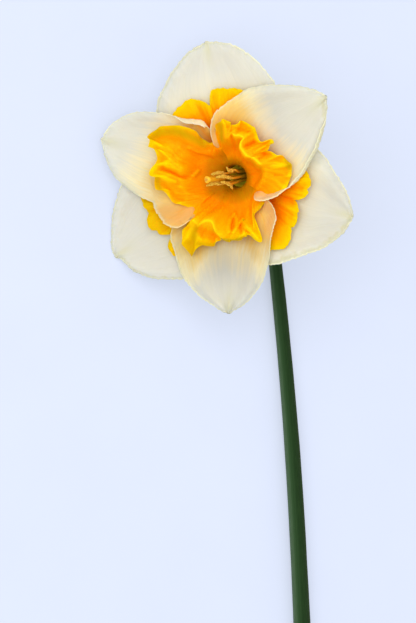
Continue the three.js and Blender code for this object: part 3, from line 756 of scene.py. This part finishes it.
def neck_material():
    """Green pedicel and ovary, a ribbed tube that pales towards the petals, a yellow throat."""
    shader = Shader("neck_green", Roughness=0.45, Specular_IOR_Level=0.4)
    height = shader.fact("height")
    ribs = shader.streaks(shader.fact("around"), 40, height, 1.2)
    colour = shader.ramp(height, {
        0.0: (52, 82, 34), 0.45: (66, 98, 30), 0.62: (104, 124, 34), 0.85: (158, 160, 60),
        1.0: (226, 206, 130),
    })
    colour = shader.tint(colour, ribs, 0.4, 0.7, 0.3, (70, 88, 26))
    throat = shader.ramp(height, {0.55: (230, 228, 70), 0.8: (248, 236, 60), 1.0: (255, 236, 50)})
    colour = shader.blend(shader.fact("inside"), colour, throat)
    return shader.finish(colour, ribs, 0.5, 0.0005)


def spathe_material():
    """Dry brown paper with darker veins."""
    shader = Shader("spathe_paper", Roughness=0.8, Subsurface_Weight=0.2, Subsurface_Scale=0.0008)
    veins = shader.streaks(shader.fact("vein"), 14, shader.fact("reach"), 2.0, 3.0, 0.6)
    colour = shader.ramp(veins, {0.3: (128, 88, 66), 0.5: (186, 140, 112), 0.7: (214, 176, 148)})
    colour = shader.tint(colour, shader.grain(240, 4.0), 0.4, 0.7, 0.6, (150, 112, 88))
    return shader.finish(colour, veins, 0.7, 0.0006)


def pollen_material():
    """Tan anthers under grains of golden pollen."""
    shader = Shader("pollen", Roughness=0.85)
    grains = shader.grain(2600, 3.0, 0.7)
    colour = shader.ramp(grains, {0.35: (170, 122, 14), 0.5: (220, 172, 36), 0.66: (248, 216, 96)})
    return shader.finish(colour, grains, 0.8, 0.0004)


def filament_material():
    shader = Shader("filament", Roughness=0.5, Subsurface_Weight=0.2, Subsurface_Scale=0.0006)
    colour = shader.ramp(shader.fact("along"), {
        0.0: (190, 170, 20), 0.5: (206, 156, 10), 1.0: (230, 172, 30),
    })
    return shader.finish(shader.tint(colour, shader.grain(700), 0.4, 0.7, 0.3, (160, 118, 20)))


def style_material():
    shader = Shader("style", Roughness=0.45, Subsurface_Weight=0.2, Subsurface_Scale=0.0006)
    colour = shader.ramp(shader.fact("along"), {
        0.0: (150, 150, 20), 0.6: (226, 160, 10), 0.94: (246, 184, 20), 0.97: (246, 184, 14),
        1.0: (196, 130, 0),
    })
    beads = shader.grain(1800)
    return shader.finish(shader.tint(colour, beads, 0.4, 0.7, 0.3, (255, 208, 40)), beads, 0.6, 0.0003)


def floor_material():
    shader = Shader(
        "floor", Roughness=0.9, Specular_IOR_Level=0.1, Emission_Color=FLOOR_GLOW, Emission_Strength=1.0,
    )
    return shader.finish(shader.ramp(shader.grain(30), {0.3: (148, 153, 169), 0.7: (150, 155, 171)}))


# Heights of the whorls over the distance r from the axis

def petal_height(r):
    return PETAL_HEIGHT - PETAL_DEPTH * np.exp((PETAL_BASE - r) / PETAL_BEND)


def outer_segment_height(r):
    return petal_height(r) - OUTER_SEGMENT_DROP - DROP_AT_BASE * np.exp((OUTER_SEGMENT_BASE - r) / DROP_BEND)


def sepal_height(r):
    return outer_segment_height(r) - SEPAL_DROP - DROP_AT_BASE * np.exp((SEPAL_BASE - r) / DROP_BEND)


# Sepals, petals and segments of the corona

def placed(r, delta, height, raised, shape):
    """Points of a sheet, moved by raised along the line of sight."""
    angle = np.radians(delta + shape["azimuth"])
    points = np.stack([r * np.cos(angle), r * np.sin(angle), height], axis=-1)
    return from_head(points + raised[..., None] * SIGHT)


def half_angle_at(r, delta, edge):
    """The angle at which a petal's outline is r from the axis, on each point's side of the tip."""
    result = np.empty_like(r)
    for side in (delta < 0, delta >= 0):
        order = np.argsort(edge[side])
        result[:, side] = np.interp(r[:, side], edge[side][order], np.abs(delta[side])[order])
    return np.maximum(result, 1.0)


def blurred(values, reach):
    """The mean over a window of 2 * reach + 1 steps along both axes."""
    values = np.pad(values, [(reach, reach), (reach, reach), (0, 0)], mode="edge")
    for axis in (0, 1):
        windows = np.lib.stride_tricks.sliding_window_view(values, 2 * reach + 1, axis=axis)
        values = windows.mean(axis=-1)
    return values


def relief(middle, reach):
    """How far each point stands out of its surroundings, in millimetres."""
    return np.sum((middle - blurred(middle, reach)) * normals(middle), axis=-1)


def tepal_margin(shape, delta):
    """How far out the ragged, pointed margin lies at the angles delta, and how far it is turned up."""
    outline = np.array(shape["outline"], float)
    edge, turned = np.moveaxis(hermite(outline[:, 0], outline[:, 1:], delta), -1, 0)
    seed = shape["seed"]
    edge = edge + 0.18 * wobble(delta * 0.55, seed) + 0.14 * wobble(delta * 2, seed + 5)
    return edge + CRIMP * wobble(delta * 3, seed + 8) + TIP_LENGTH * bell(delta, 0, TIP_WIDTH), turned


def tepal_waves(shape, u, r, delta, across):
    """How far a petal is raised by its rise and its soft waves, less its keel."""
    depth, count, phase = shape["pleats"]
    tip = max(distance for _, distance, _ in shape["outline"])
    raised = shape["rise"] * (r / tip) ** 2
    raised -= KEEL_DEPTH * u * np.exp(-((r * np.radians(delta)) ** 2) / KEEL_SPREAD)
    raised += depth * np.sin(np.pi * count * across + phase) * smooth(r, *PLEATS_START)
    return raised + 0.5 * wobble(r * 0.11 + delta * 0.03, shape["seed"] + 2) * smooth(r, *WAVES_START)


def painted_tepal_shade(shape, r, delta):
    """The share of black painted into a petal's colour as shade; patches below zero lessen it as painted
    light.
    """
    shade = 1 - shape["painted_brightness"]
    for angle, width, distance, length, depth in shape["painted_shades"]:
        shade = shade + depth * bell(delta, angle, width) * bell(r, distance, length)
    return shade


def rolled_rays(shape, base, edge, delta, u):
    """Rays from the base to the margin and, on the clockwise side, on round a flattened roll.

    Gives the distance of each point from the axis and, along the sheet, from the edge, the share
    of a full roll, the angle that the sheet has turned through, and how far that lifts the point.
    """
    amount, radius, *window = shape.get("rolled", NOT_ROLLED)
    roll = amount * smooth(-delta, *window[:2]) * (1 - smooth(-delta, *window[2:]))
    roll_end = ROLL_ANGLE * roll
    roll_start = edge - radius * np.sin(np.minimum(roll_end, np.pi / 2))
    length = roll_start - base + radius * roll_end
    from_edge = length * (1 - u**ROW_CROWDING)
    rolled = np.maximum(0, radius * roll_end - from_edge) / radius
    r = np.minimum(base + length - from_edge, roll_start) + radius * np.sin(rolled)
    return r, from_edge, roll, rolled, ROLL_FLATNESS * radius * (1 - np.cos(rolled))


def tepal(name, shape, base, height_at, material, rows=64, columns=200):
    """A petal or sepal: a fan of rays from its base to its outline, closer together at the tip."""
    u, v = grid(rows, columns)
    start, end = shape["outline"][0][0], shape["outline"][-1][0]
    delta = np.where(v < 0, start, end) * np.abs(v) ** RAY_CROWDING
    edge, turned = tepal_margin(shape, delta)
    r, from_edge, roll, rolled, lift = rolled_rays(shape, base, edge, delta, u)
    side = np.where(delta < 0, delta - start, end - delta) * np.pi / 180 * r
    near = np.clip(1 - np.minimum(from_edge, side) / TURNED_WIDTH, 0, 1)
    height = height_at(r) + turned * near**1.7 * smooth(r, *shape["free"]) + lift

    across = delta / half_angle_at(r, delta[0], edge[0])
    raised = tepal_waves(shape, u, r, delta, across)
    free = smooth(r, *CURL_START) * (1 - roll)
    raised += 0.3 * free * near * wobble(delta * 0.45, shape["seed"] + 3)
    curl = np.clip(1 - from_edge / CURLED_WIDTH, 0, 1) ** 2 * (1 - smooth(np.abs(turned), 0, 1))
    raised -= 0.9 * free * curl

    # Golden streaks from the base: partly the tissue's own gold and partly painted glow of the corona's
    # light, and below zero partly painted light where the corona casts shade.
    gold_and_glow_shift = 0
    for angle, width, reach in shape.get("gold_and_glow", []):
        gold_and_glow_shift = gold_and_glow_shift + reach / TEPAL_REACH * bell(delta, angle, width)
    facts = {
        "reach": r / TEPAL_REACH - gold_and_glow_shift,
        "edge": from_edge,
        # the band along the margins, which carries painted shade
        "rim": from_edge / mix(*shape["rim_shade_widths"], smooth(delta, -4, 4)),
        "vein": across + 3 * shape["seed"],
        "rolled": smooth(rolled, 0.6, 1.5),
        # painted shade, and painted light where patches go below zero
        "shade": painted_tepal_shade(shape, r, delta),
        "keel": 0.4 * bell(r * np.radians(delta), 0, 1.5) * smooth(edge - r, 13, 2),
        "peach": smooth(near, 0, 0.6) * smooth(turned, 2.5, 4.5) * (1 - roll),
    }
    middle = placed(r, delta, height, raised, shape)
    add_sheet(name, middle, tapered(from_edge), material, [name], facts)


def outer_segment(name, shape, material, rows=40, columns=150):
    """A segment that lies along its sepal, with cusped notches in its rim."""
    u, v = grid(rows, columns)
    delta = mix(shape["rim"][0][0], shape["rim"][-1][0], (v + 1) / 2)
    seed = shape["seed"]
    rim = through(shape["rim"], delta)
    crease = 0
    for angle, depth, width in shape["notches"]:
        rim = rim - depth * np.exp(-np.abs(delta - angle) / width)
        crease = crease + depth / 4 * bell(delta, angle, width)
    rim = rim + 0.35 * wobble(delta * 0.4, seed) + 0.12 * wobble(delta * 1.3, seed + 4)
    r = OUTER_SEGMENT_BASE + (rim - OUTER_SEGMENT_BASE) * u**ROW_CROWDING
    free = smooth(STANDING[0] - np.abs(delta), 0, STANDING[1])
    wave = 1.2 * wobble(delta * 0.2, seed + 1) + 0.5 * wobble(delta * 0.55, seed + 2)
    raised = free * u**3 * (1.4 + wave) - (0.5 + free) * crease * u**2
    middle = placed(r, delta, outer_segment_height(r), raised, shape)
    # The relief is kept for the material, which paints light on what stands out and shade in the hollows.
    facts = {
        "reach": r / OUTER_SEGMENT_REACH,
        "edge": rim - r,
        "vein": delta / RIBS_SPREAD + seed,
        "painted_relief_and_gold": relief(middle, 7),
        "olive": shape["olive"],
    }
    add_sheet(name, middle, tapered(rim - r), material, [name], facts)


def drawn(line, width, x, y):
    """1 on a line of points given by angle and distance, fading away over the width beside it."""
    corners = [(r * np.cos(np.radians(angle)), r * np.sin(np.radians(angle))) for angle, r in line]
    nearest = np.full_like(x, np.inf)
    for (ax, ay), (bx, by) in zip(corners, corners[1:]):
        share = ((x - ax) * (bx - ax) + (y - ay) * (by - ay)) / ((bx - ax) ** 2 + (by - ay) ** 2)
        share = np.clip(share, 0, 1)
        nearest = np.minimum(nearest, np.hypot(x - mix(ax, bx, share), y - mix(ay, by, share)))
    return bell(nearest, 0, width)


def cup(shape, up, v):
    """The angles, distances and heights on an inner segment, and how strongly the painted highlight along
    its crest shows.
    """
    rays = np.array(shape["rays"], float)
    order = np.arange(len(rays))
    rows = hermite(order, rays, order[-1] * (v + 1) / 2).T
    crest, rim, dip = rows[:3], rows[3:6], rows[6]
    foot = mix(rays[0, 0], rays[-1, 0], (v + 1) / 2)
    base = np.array(np.broadcast_arrays(foot, INNER_SEGMENT_BASE, THROAT_DEPTH))
    throat = np.array(np.broadcast_arrays(foot, *THROAT_RIM))
    down = np.array([[0], [0], [1]]) * dip
    stations = np.array([
        base, throat, mix(throat, crest, WALL), crest,
        mix(crest, rim, DIP_START) - 0.1 * down, mix(crest, rim, DIP_MIDDLE) - down, rim,
    ])
    sheet = hermite(SHEET_SHARES, stations.reshape(len(stations), -1), up)
    return *np.moveaxis(sheet.reshape(-1, 3, len(v)), 1, 0), smooth(dip * crest[2], 8, 14)


def ruffles(shape, u, v):
    """How far the ruffles raise the points of an inner segment, shift them and push them out."""
    seed = shape["seed"]
    turn = 0.5 * np.pi * shape["ruffles"] * (v + 1) + shape["phase"] + 0.9 * wobble(3 * v, seed)
    fine = 2.6 * turn + 2 * wobble(5 * v, seed + 3)
    ends = smooth(1 - np.abs(v), 0, 0.12)
    swell = shape["ruffle"] * (1 + 0.4 * wobble(4 * v, seed + 1)) * smooth(u, 0.5, 0.95) * ends
    frill = shape["frill"] * (1 + 0.5 * wobble(7 * v, seed + 2)) * smooth(u, 0.7, 1) * ends
    raised = swell * np.sin(turn) + frill * np.sin(fine)
    shift = 2.5 * swell * np.cos(turn + 0.8) * u + 2 * frill * np.cos(fine + 0.6)
    out = (0.4 * frill * np.cos(fine) + 0.3 * wobble(10 * v, seed + 7) * smooth(u, 0.6, 1)) * ends
    return raised, shift, out, ends


def inner_segment(name, shape, material, rows=96, columns=260):
    """A segment of the cup: smooth up to its crest, and ruffled from there to its rim.

    Its last column is tucked under the next segment, so that no slit shows between them.
    """
    u, v = grid(rows, columns - 1)
    v = np.append(v, 1)[None, :]
    delta, r, height, crest = cup(shape, u[:, 0], v[0])
    raised, shift, out, ends = ruffles(shape, u, v)
    seed = shape["seed"]
    x, y = r * np.cos(np.radians(delta)), r * np.sin(np.radians(delta))
    folds, olive = 0, 0
    for rise, width, line in shape["folds"]:
        folds = folds + rise * drawn(line, width, x, y)
    # Olive streaks of painted shade on turned-over margins and undersides
    for width, line in shape["painted_shade_streaks"]:
        olive = np.maximum(olive, 0.85 * drawn(line, width, x, y))
    ripple = 0.22 * wobble(delta * 0.3 + 9 * u, seed + 6) * smooth(u, 0.3, 0.6)
    raised = ends * (raised + folds + ripple)
    r = r + out

    middle = placed(r, delta + shift, height, raised, shape)
    sideways = unit(middle[:, -2] - middle[:, -3])
    middle[:, -1] = middle[:, -2] + TUCK * sideways - TUCK * FACING / 2
    steps = np.linalg.norm(np.gradient(middle, axis=0), axis=-1)
    from_edge = np.cumsum(steps[::-1], axis=0)[::-1]
    gold = mix(BOWL_GOLD, shape["gold"], smooth(u, 0.25, 0.6) * smooth(1 - np.abs(v), 0, 0.3))
    shade, deep = shape["shade"], THROAT_RIM[1] - THROAT_FADE
    facts = {
        "reach": r / INNER_SEGMENT_REACH,
        "edge": from_edge,
        "vein": delta / RIBS_SPREAD + seed,
        # the segment's gold, and the folds and relief painted as light on ridges and shade in hollows
        "painted_relief_and_gold": gold + 0.33 * folds + relief(middle, 8) + 2.5 * relief(middle, 2),
        # olive streaks of painted shade
        "olive": olive,
        # the throat's own green, and painted shade deeper down
        "throat": (1 - smooth(height, deep, 0.35 * shade)) * (1 - smooth(r, 0.65 * shade, shade)),
        # a painted highlight along the crest
        "crest": 0.85 * bell(u, *CREST_HIGHLIGHT) * crest,
    }
    add_sheet(name, middle, tapered(from_edge), material, [name], facts)


# Stamens and style

def rod(name, path, radii, section, material):
    """A rod along a path in the flower's own frame, each ring turned as little as possible."""
    path = from_head(path)
    along = unit(np.gradient(path, axis=0))
    across = np.cross(along[0], (0.3, 0.5, 0.8))
    rings = []
    for centre, ahead, radius in zip(path, along, radii):
        across = unit(across - ahead * np.dot(across, ahead))
        rings.append(ring(centre, across, np.cross(ahead, across), radius * section))
    add_tube(name, rings, material, [name], {"along": np.linspace(0, 1, len(path))[:, None]})


def filament(number, material, rings=26, sides=14):
    """A thread from the floor of the throat to its anther."""
    angle = np.radians(60 * number)
    foot = np.array((STAMEN_RING * np.cos(angle), STAMEN_RING * np.sin(angle), THROAT_FLOOR + JOINT_GAP))
    knee = foot * (1, 1, 0) + (0, 0, FILAMENT_KNEE)
    attached, points = ANTHERS[number]
    top = hermite(np.linspace(0, 1, 4), points, np.array([attached]))[0]
    path = hermite([0, 0.45, 1], [foot, knee, top], np.linspace(0, 1, rings))
    radii = np.linspace(*FILAMENT_RADII, rings)
    rod(f"filament_{number}", path, radii, np.ones(sides), material)


def anther(number, material, rings=30, sides=20):
    """A long grooved body on its filament, curled as its pollen is shed."""
    share = np.linspace(0, 1, rings)
    path = hermite(np.linspace(0, 1, 4), ANTHERS[number][1], share)
    radii = 0.14 + 0.46 * np.sin(np.pi * np.clip(share, 0.03, 0.97)) ** 0.5
    radii = radii * (1 + 0.22 * wobble(share * 18, number))
    angles = circle(sides)
    section = 1 + 0.3 * np.cos(2 * angles) - 0.12 * np.cos(4 * angles)
    rod(f"anther_{number}", path, radii, section, material)


def style(material, sides=30):
    """The style ends in a three-lobed knob."""
    shaft = np.linspace(THROAT_FLOOR + JOINT_GAP, SHAFT_END, 34)
    height = np.concatenate([shaft, np.linspace(KNOB_START, STYLE_TOP, 16)])
    share = np.maximum(0, (height - LEAN_START) / (STYLE_TOP - LEAN_START))
    path = np.column_stack([LEAN * share[:, None] ** 1.2, height])
    knob = np.sqrt(np.clip(1 - ((height - KNOB_MIDDLE) / KNOB_RADIUS) ** 2, 0, 1))
    radii = mix(*STYLE_RADII, smooth(height, 0, 10)) * (height < KNOB_MIDDLE)
    radii = np.maximum(radii, KNOB_RADIUS * knob) + 0.05
    rod("style", path, radii, 1 + 0.10 * np.cos(3 * circle(sides)), material)


# Neck, stem and spathe

STEM_TOP_HEIGHT = STEM_TOP_RADIUS * np.cos(np.pi / STEM_SIDES_OF_SOLID)
STEM_TOP_POINT = np.array((MOUTH.x + STEM_TOP[0], MOUTH.y + STEM_TOP[1], STEM_TOP_HEIGHT))
STEM_UP = unit(np.array((*(STEM_TOP - STEM_BEND), 0.0)))


def on_axis(heights):
    return np.array(MOUTH) + FACING * np.reshape(heights, (-1, 1))


def bezier(a, b, c, d, t):
    t = t[:, None]
    return (1 - t) ** 3 * a + 3 * (1 - t) ** 2 * t * b + 3 * (1 - t) * t**2 * c + t**3 * d


def neck(material, sides=72, bend_rings=26, tube_rings=30):
    """The pedicel round its bend, the ovary and the tube, turned inwards into the throat."""
    start = STEM_TOP_POINT + STEM_UP * JOINT_GAP
    corners = (start, start + STEM_UP * BEND_START, *on_axis(BEND_END))
    bend_share = np.linspace(0, 1, bend_rings)
    outer = np.linspace(NECK_OUTSIDE[0][0], NECK_OUTSIDE[-1][0], tube_rings)
    inner, inner_radii = np.array(NECK_INSIDE).T
    heights = np.concatenate([outer, inner])
    path = np.concatenate([bezier(*corners, bend_share), on_axis(heights)])
    radii = np.concatenate([mix(*PEDICEL_RADII, bend_share**2), through(NECK_OUTSIDE, outer), inner_radii])
    along = unit(np.gradient(path[: bend_rings + tube_rings], axis=0))
    along = np.concatenate([along, np.tile(FACING, (len(inner), 1))])
    level = np.concatenate([np.full(bend_rings, -40.0), heights])
    ovary = bell(level, *OVARY)
    tube = smooth(level, *TUBE[:2]) * (1 - smooth(level, *TUBE[2:]))

    angles = circle(sides)
    rings = []
    for centre, ahead, radius, bulge, ribbed in zip(path, along, radii, ovary, tube):
        across = unit(FACE_RIGHT - ahead * np.dot(FACE_RIGHT, ahead))
        lobes = bulge * OVARY_LOBES[0] * np.cos(OVARY_LOBES[1] * angles)
        ribs = ribbed * TUBE_RIBS[0] * np.cos(TUBE_RIBS[1] * angles)
        rings.append(ring(centre, across, np.cross(ahead, across), radius * (1 + lobes + ribs)))
    coloured = smooth(heights, *COLOURED) * MOUTH_COLOUR
    facts = {
        "around": np.abs(np.linspace(-1, 1, sides)),
        "height": np.append(np.linspace(-0.2, 0, bend_rings), coloured)[:, None],
        "inside": np.arange(len(path))[:, None] >= bend_rings + tube_rings,
    }
    add_tube("neck_skin", rings, material, ["neck"], facts)


def stem(material, rings=150, sides=64):
    """A slightly two-edged stem with ribs along it, flat where it lies on the floor."""
    angles = circle(sides)
    section = 1
    for depth, count in STEM_RIBS:
        section = section + depth * np.cos(count * angles)
    section = section * STEM_SLIMNESS / section.max()
    stations = [(0, *cut_ring) for cut_ring in CUT_RINGS] + [(t, 1, 0) for t in np.linspace(0, 1, rings)]
    points = []
    for t, size, sunk in stations:
        centre = (1 - t) ** 2 * STEM_END + 2 * t * (1 - t) * STEM_BEND + t**2 * STEM_TOP
        ahead = unit(2 * (1 - t) * (STEM_BEND - STEM_END) + 2 * t * (STEM_TOP - STEM_BEND))
        across = np.array((ahead[1], -ahead[0]))
        radius = mix(STEM_END_RADIUS, STEM_TOP_RADIUS, t) * (1 + 0.012 * wobble(t * 22, 31))
        inside = np.clip((t - FOOT_SHARE) / (1 - 2 * FOOT_SHARE), 0, 1)
        arch = STEM_ARCH * np.sin(np.pi * inside) ** 2
        half = radius * STEM_FLATTENING * section.min()
        x = radius * section * np.cos(angles) * size
        z = np.maximum(radius * section * np.sin(angles), -half) * size + half + arch
        place = np.array(MOUTH.xy) + centre + np.outer(x, across) + ahead * sunk
        points.append(np.column_stack([place, np.maximum(z, 0.0)]))
    along, sizes, _ = np.array(stations).T[..., None]
    facts = {
        "around": np.abs(np.linspace(-1, 1, sides)), "side": 0.5 + 0.5 * np.cos(angles),
        "along": along, "cut": sizes < 1,
    }
    add_tube("stem_skin", points, material, ["stem"], facts, flip=True)


def spathe(material, rows=60, columns=30):
    """A wrinkled papery sheath on the outside of the bend, open into a pointed blade."""
    u, v = grid(rows, columns)
    share = u[:, 0]
    spine = STEM_TOP_POINT + hermite(np.linspace(0, 1, len(SPATHE_SPINE)), SPATHE_SPINE, share)
    along = unit(np.gradient(spine, axis=0))
    clasp = np.array((np.cos(np.radians(SPATHE_TURN)), 0, np.sin(np.radians(SPATHE_TURN))))
    outward = mix(clasp, np.array((0, 0, 1.0)), smooth(u, 0.3, 0.7))
    outward = unit(outward - along * np.sum(outward * along, axis=1, keepdims=True))
    across = np.cross(along, outward)
    radius = mix(*SPATHE_RADII, smooth(u, 0.25, 0.8))
    widest = mix(*SPATHE_HALF_WIDTHS, smooth(u, 0.15, 0.5))
    half_width = 0.15 + widest * (1 - smooth(u, 0.45, 1.02))
    angle = v * (half_width / radius)
    crease = 0.16 * wobble(v * 7 + u * 3, 41) + 0.12 * wobble(u * 16, 42) * np.abs(v)
    bow = radius * (np.cos(angle) - 1) + crease * smooth(u, 0.1, 0.4)
    aside = -radius * np.sin(angle)
    middle = spine[:, None] + outward[:, None] * bow[..., None] + across[:, None] * aside[..., None]
    thickness = np.full_like(angle, PAPER)
    add_sheet("spathe_skin", middle, thickness, material, ["spathe"], {"reach": u, "vein": v + 9})


# Stage

def camera():
    data = bpy.data.cameras.new("camera")
    data.sensor_fit = "VERTICAL"
    data.sensor_height = SENSOR
    data.lens = SENSOR * CAMERA_DISTANCE * PIXELS_PER_MM / PICTURE[1]
    data.clip_start = NEAREST_SEEN * MM
    tilt = Matrix.Rotation(np.radians(-CAMERA_TILT), 3, "Y")
    turn = tilt @ Matrix.Rotation(np.radians(CAMERA_ROLL), 3, "Z")
    right, up, back = turn.col
    to_right = (MOUTH_PIXEL[0] - PICTURE[0] / 2) / PIXELS_PER_MM
    upwards = (PICTURE[1] / 2 - MOUTH_PIXEL[1]) / PIXELS_PER_MM
    aim = MOUTH - right * to_right - up * upwards
    obj = add_object("camera", data)
    obj.matrix_world = Matrix.Translation((aim + back * CAMERA_DISTANCE) * MM) @ turn.to_4x4()
    bpy.context.scene.camera = obj


def area_light(name, place, size, power, colour):
    data = bpy.data.lights.new(name, "AREA")
    data.shape = "DISK"
    data.size = size
    data.energy = power
    data.color = colour
    obj = add_object(name, data)
    obj.location = place
    obj.rotation_euler = (MOUTH * MM - place).to_track_quat("-Z", "Y").to_euler()


def studio():
    scene = bpy.context.scene
    scene.view_settings.view_transform = "Standard"
    world = bpy.data.worlds.new("studio")
    world.use_nodes = True
    background = world.node_tree.nodes["Background"]
    background.inputs["Color"].default_value = SKY_COLOUR
    background.inputs["Strength"].default_value = SKY_STRENGTH
    scene.world = world
    area_light("key", MOUTH * MM + TURN @ Vector(KEY_PLACE), *KEY_LIGHT)
    area_light("fill", Vector(FILL_PLACE), *FILL_LIGHT)


def floor(material):
    mesh = bpy.data.meshes.new("floor")
    half, drop = FLOOR_HALF * MM, -FLOOR_DROP * MM
    corners = [(-half, -half, drop), (half, -half, drop), (half, half, drop), (-half, half, drop)]
    mesh.from_pydata(corners, [], [(0, 1, 2, 3)])
    mesh.materials.append(material)
    obj = add_object("floor", mesh)


def flower():
    white, pale = sepal_material(), petal_material()
    for name, shape in SEPALS.items():
        tepal(name, shape, SEPAL_BASE, sepal_height, white)
    for name, shape in PETALS.items():
        tepal(name, shape, PETAL_BASE, petal_height, pale)
    yellow = outer_corona_material()
    for name, shape in OUTER_SEGMENTS.items():
        outer_segment(name, shape, yellow)
    orange = inner_corona_material()
    for name, shape in INNER_SEGMENTS.items():
        inner_segment(name, shape, orange)
    threads, pollen = filament_material(), pollen_material()
    for number in ANTHERS:
        filament(number, threads)
        anther(number, pollen)
    style(style_material())


camera()
studio()
floor(floor_material())
flower()
neck(neck_material())
stem(stem_material())
spathe(spathe_material())
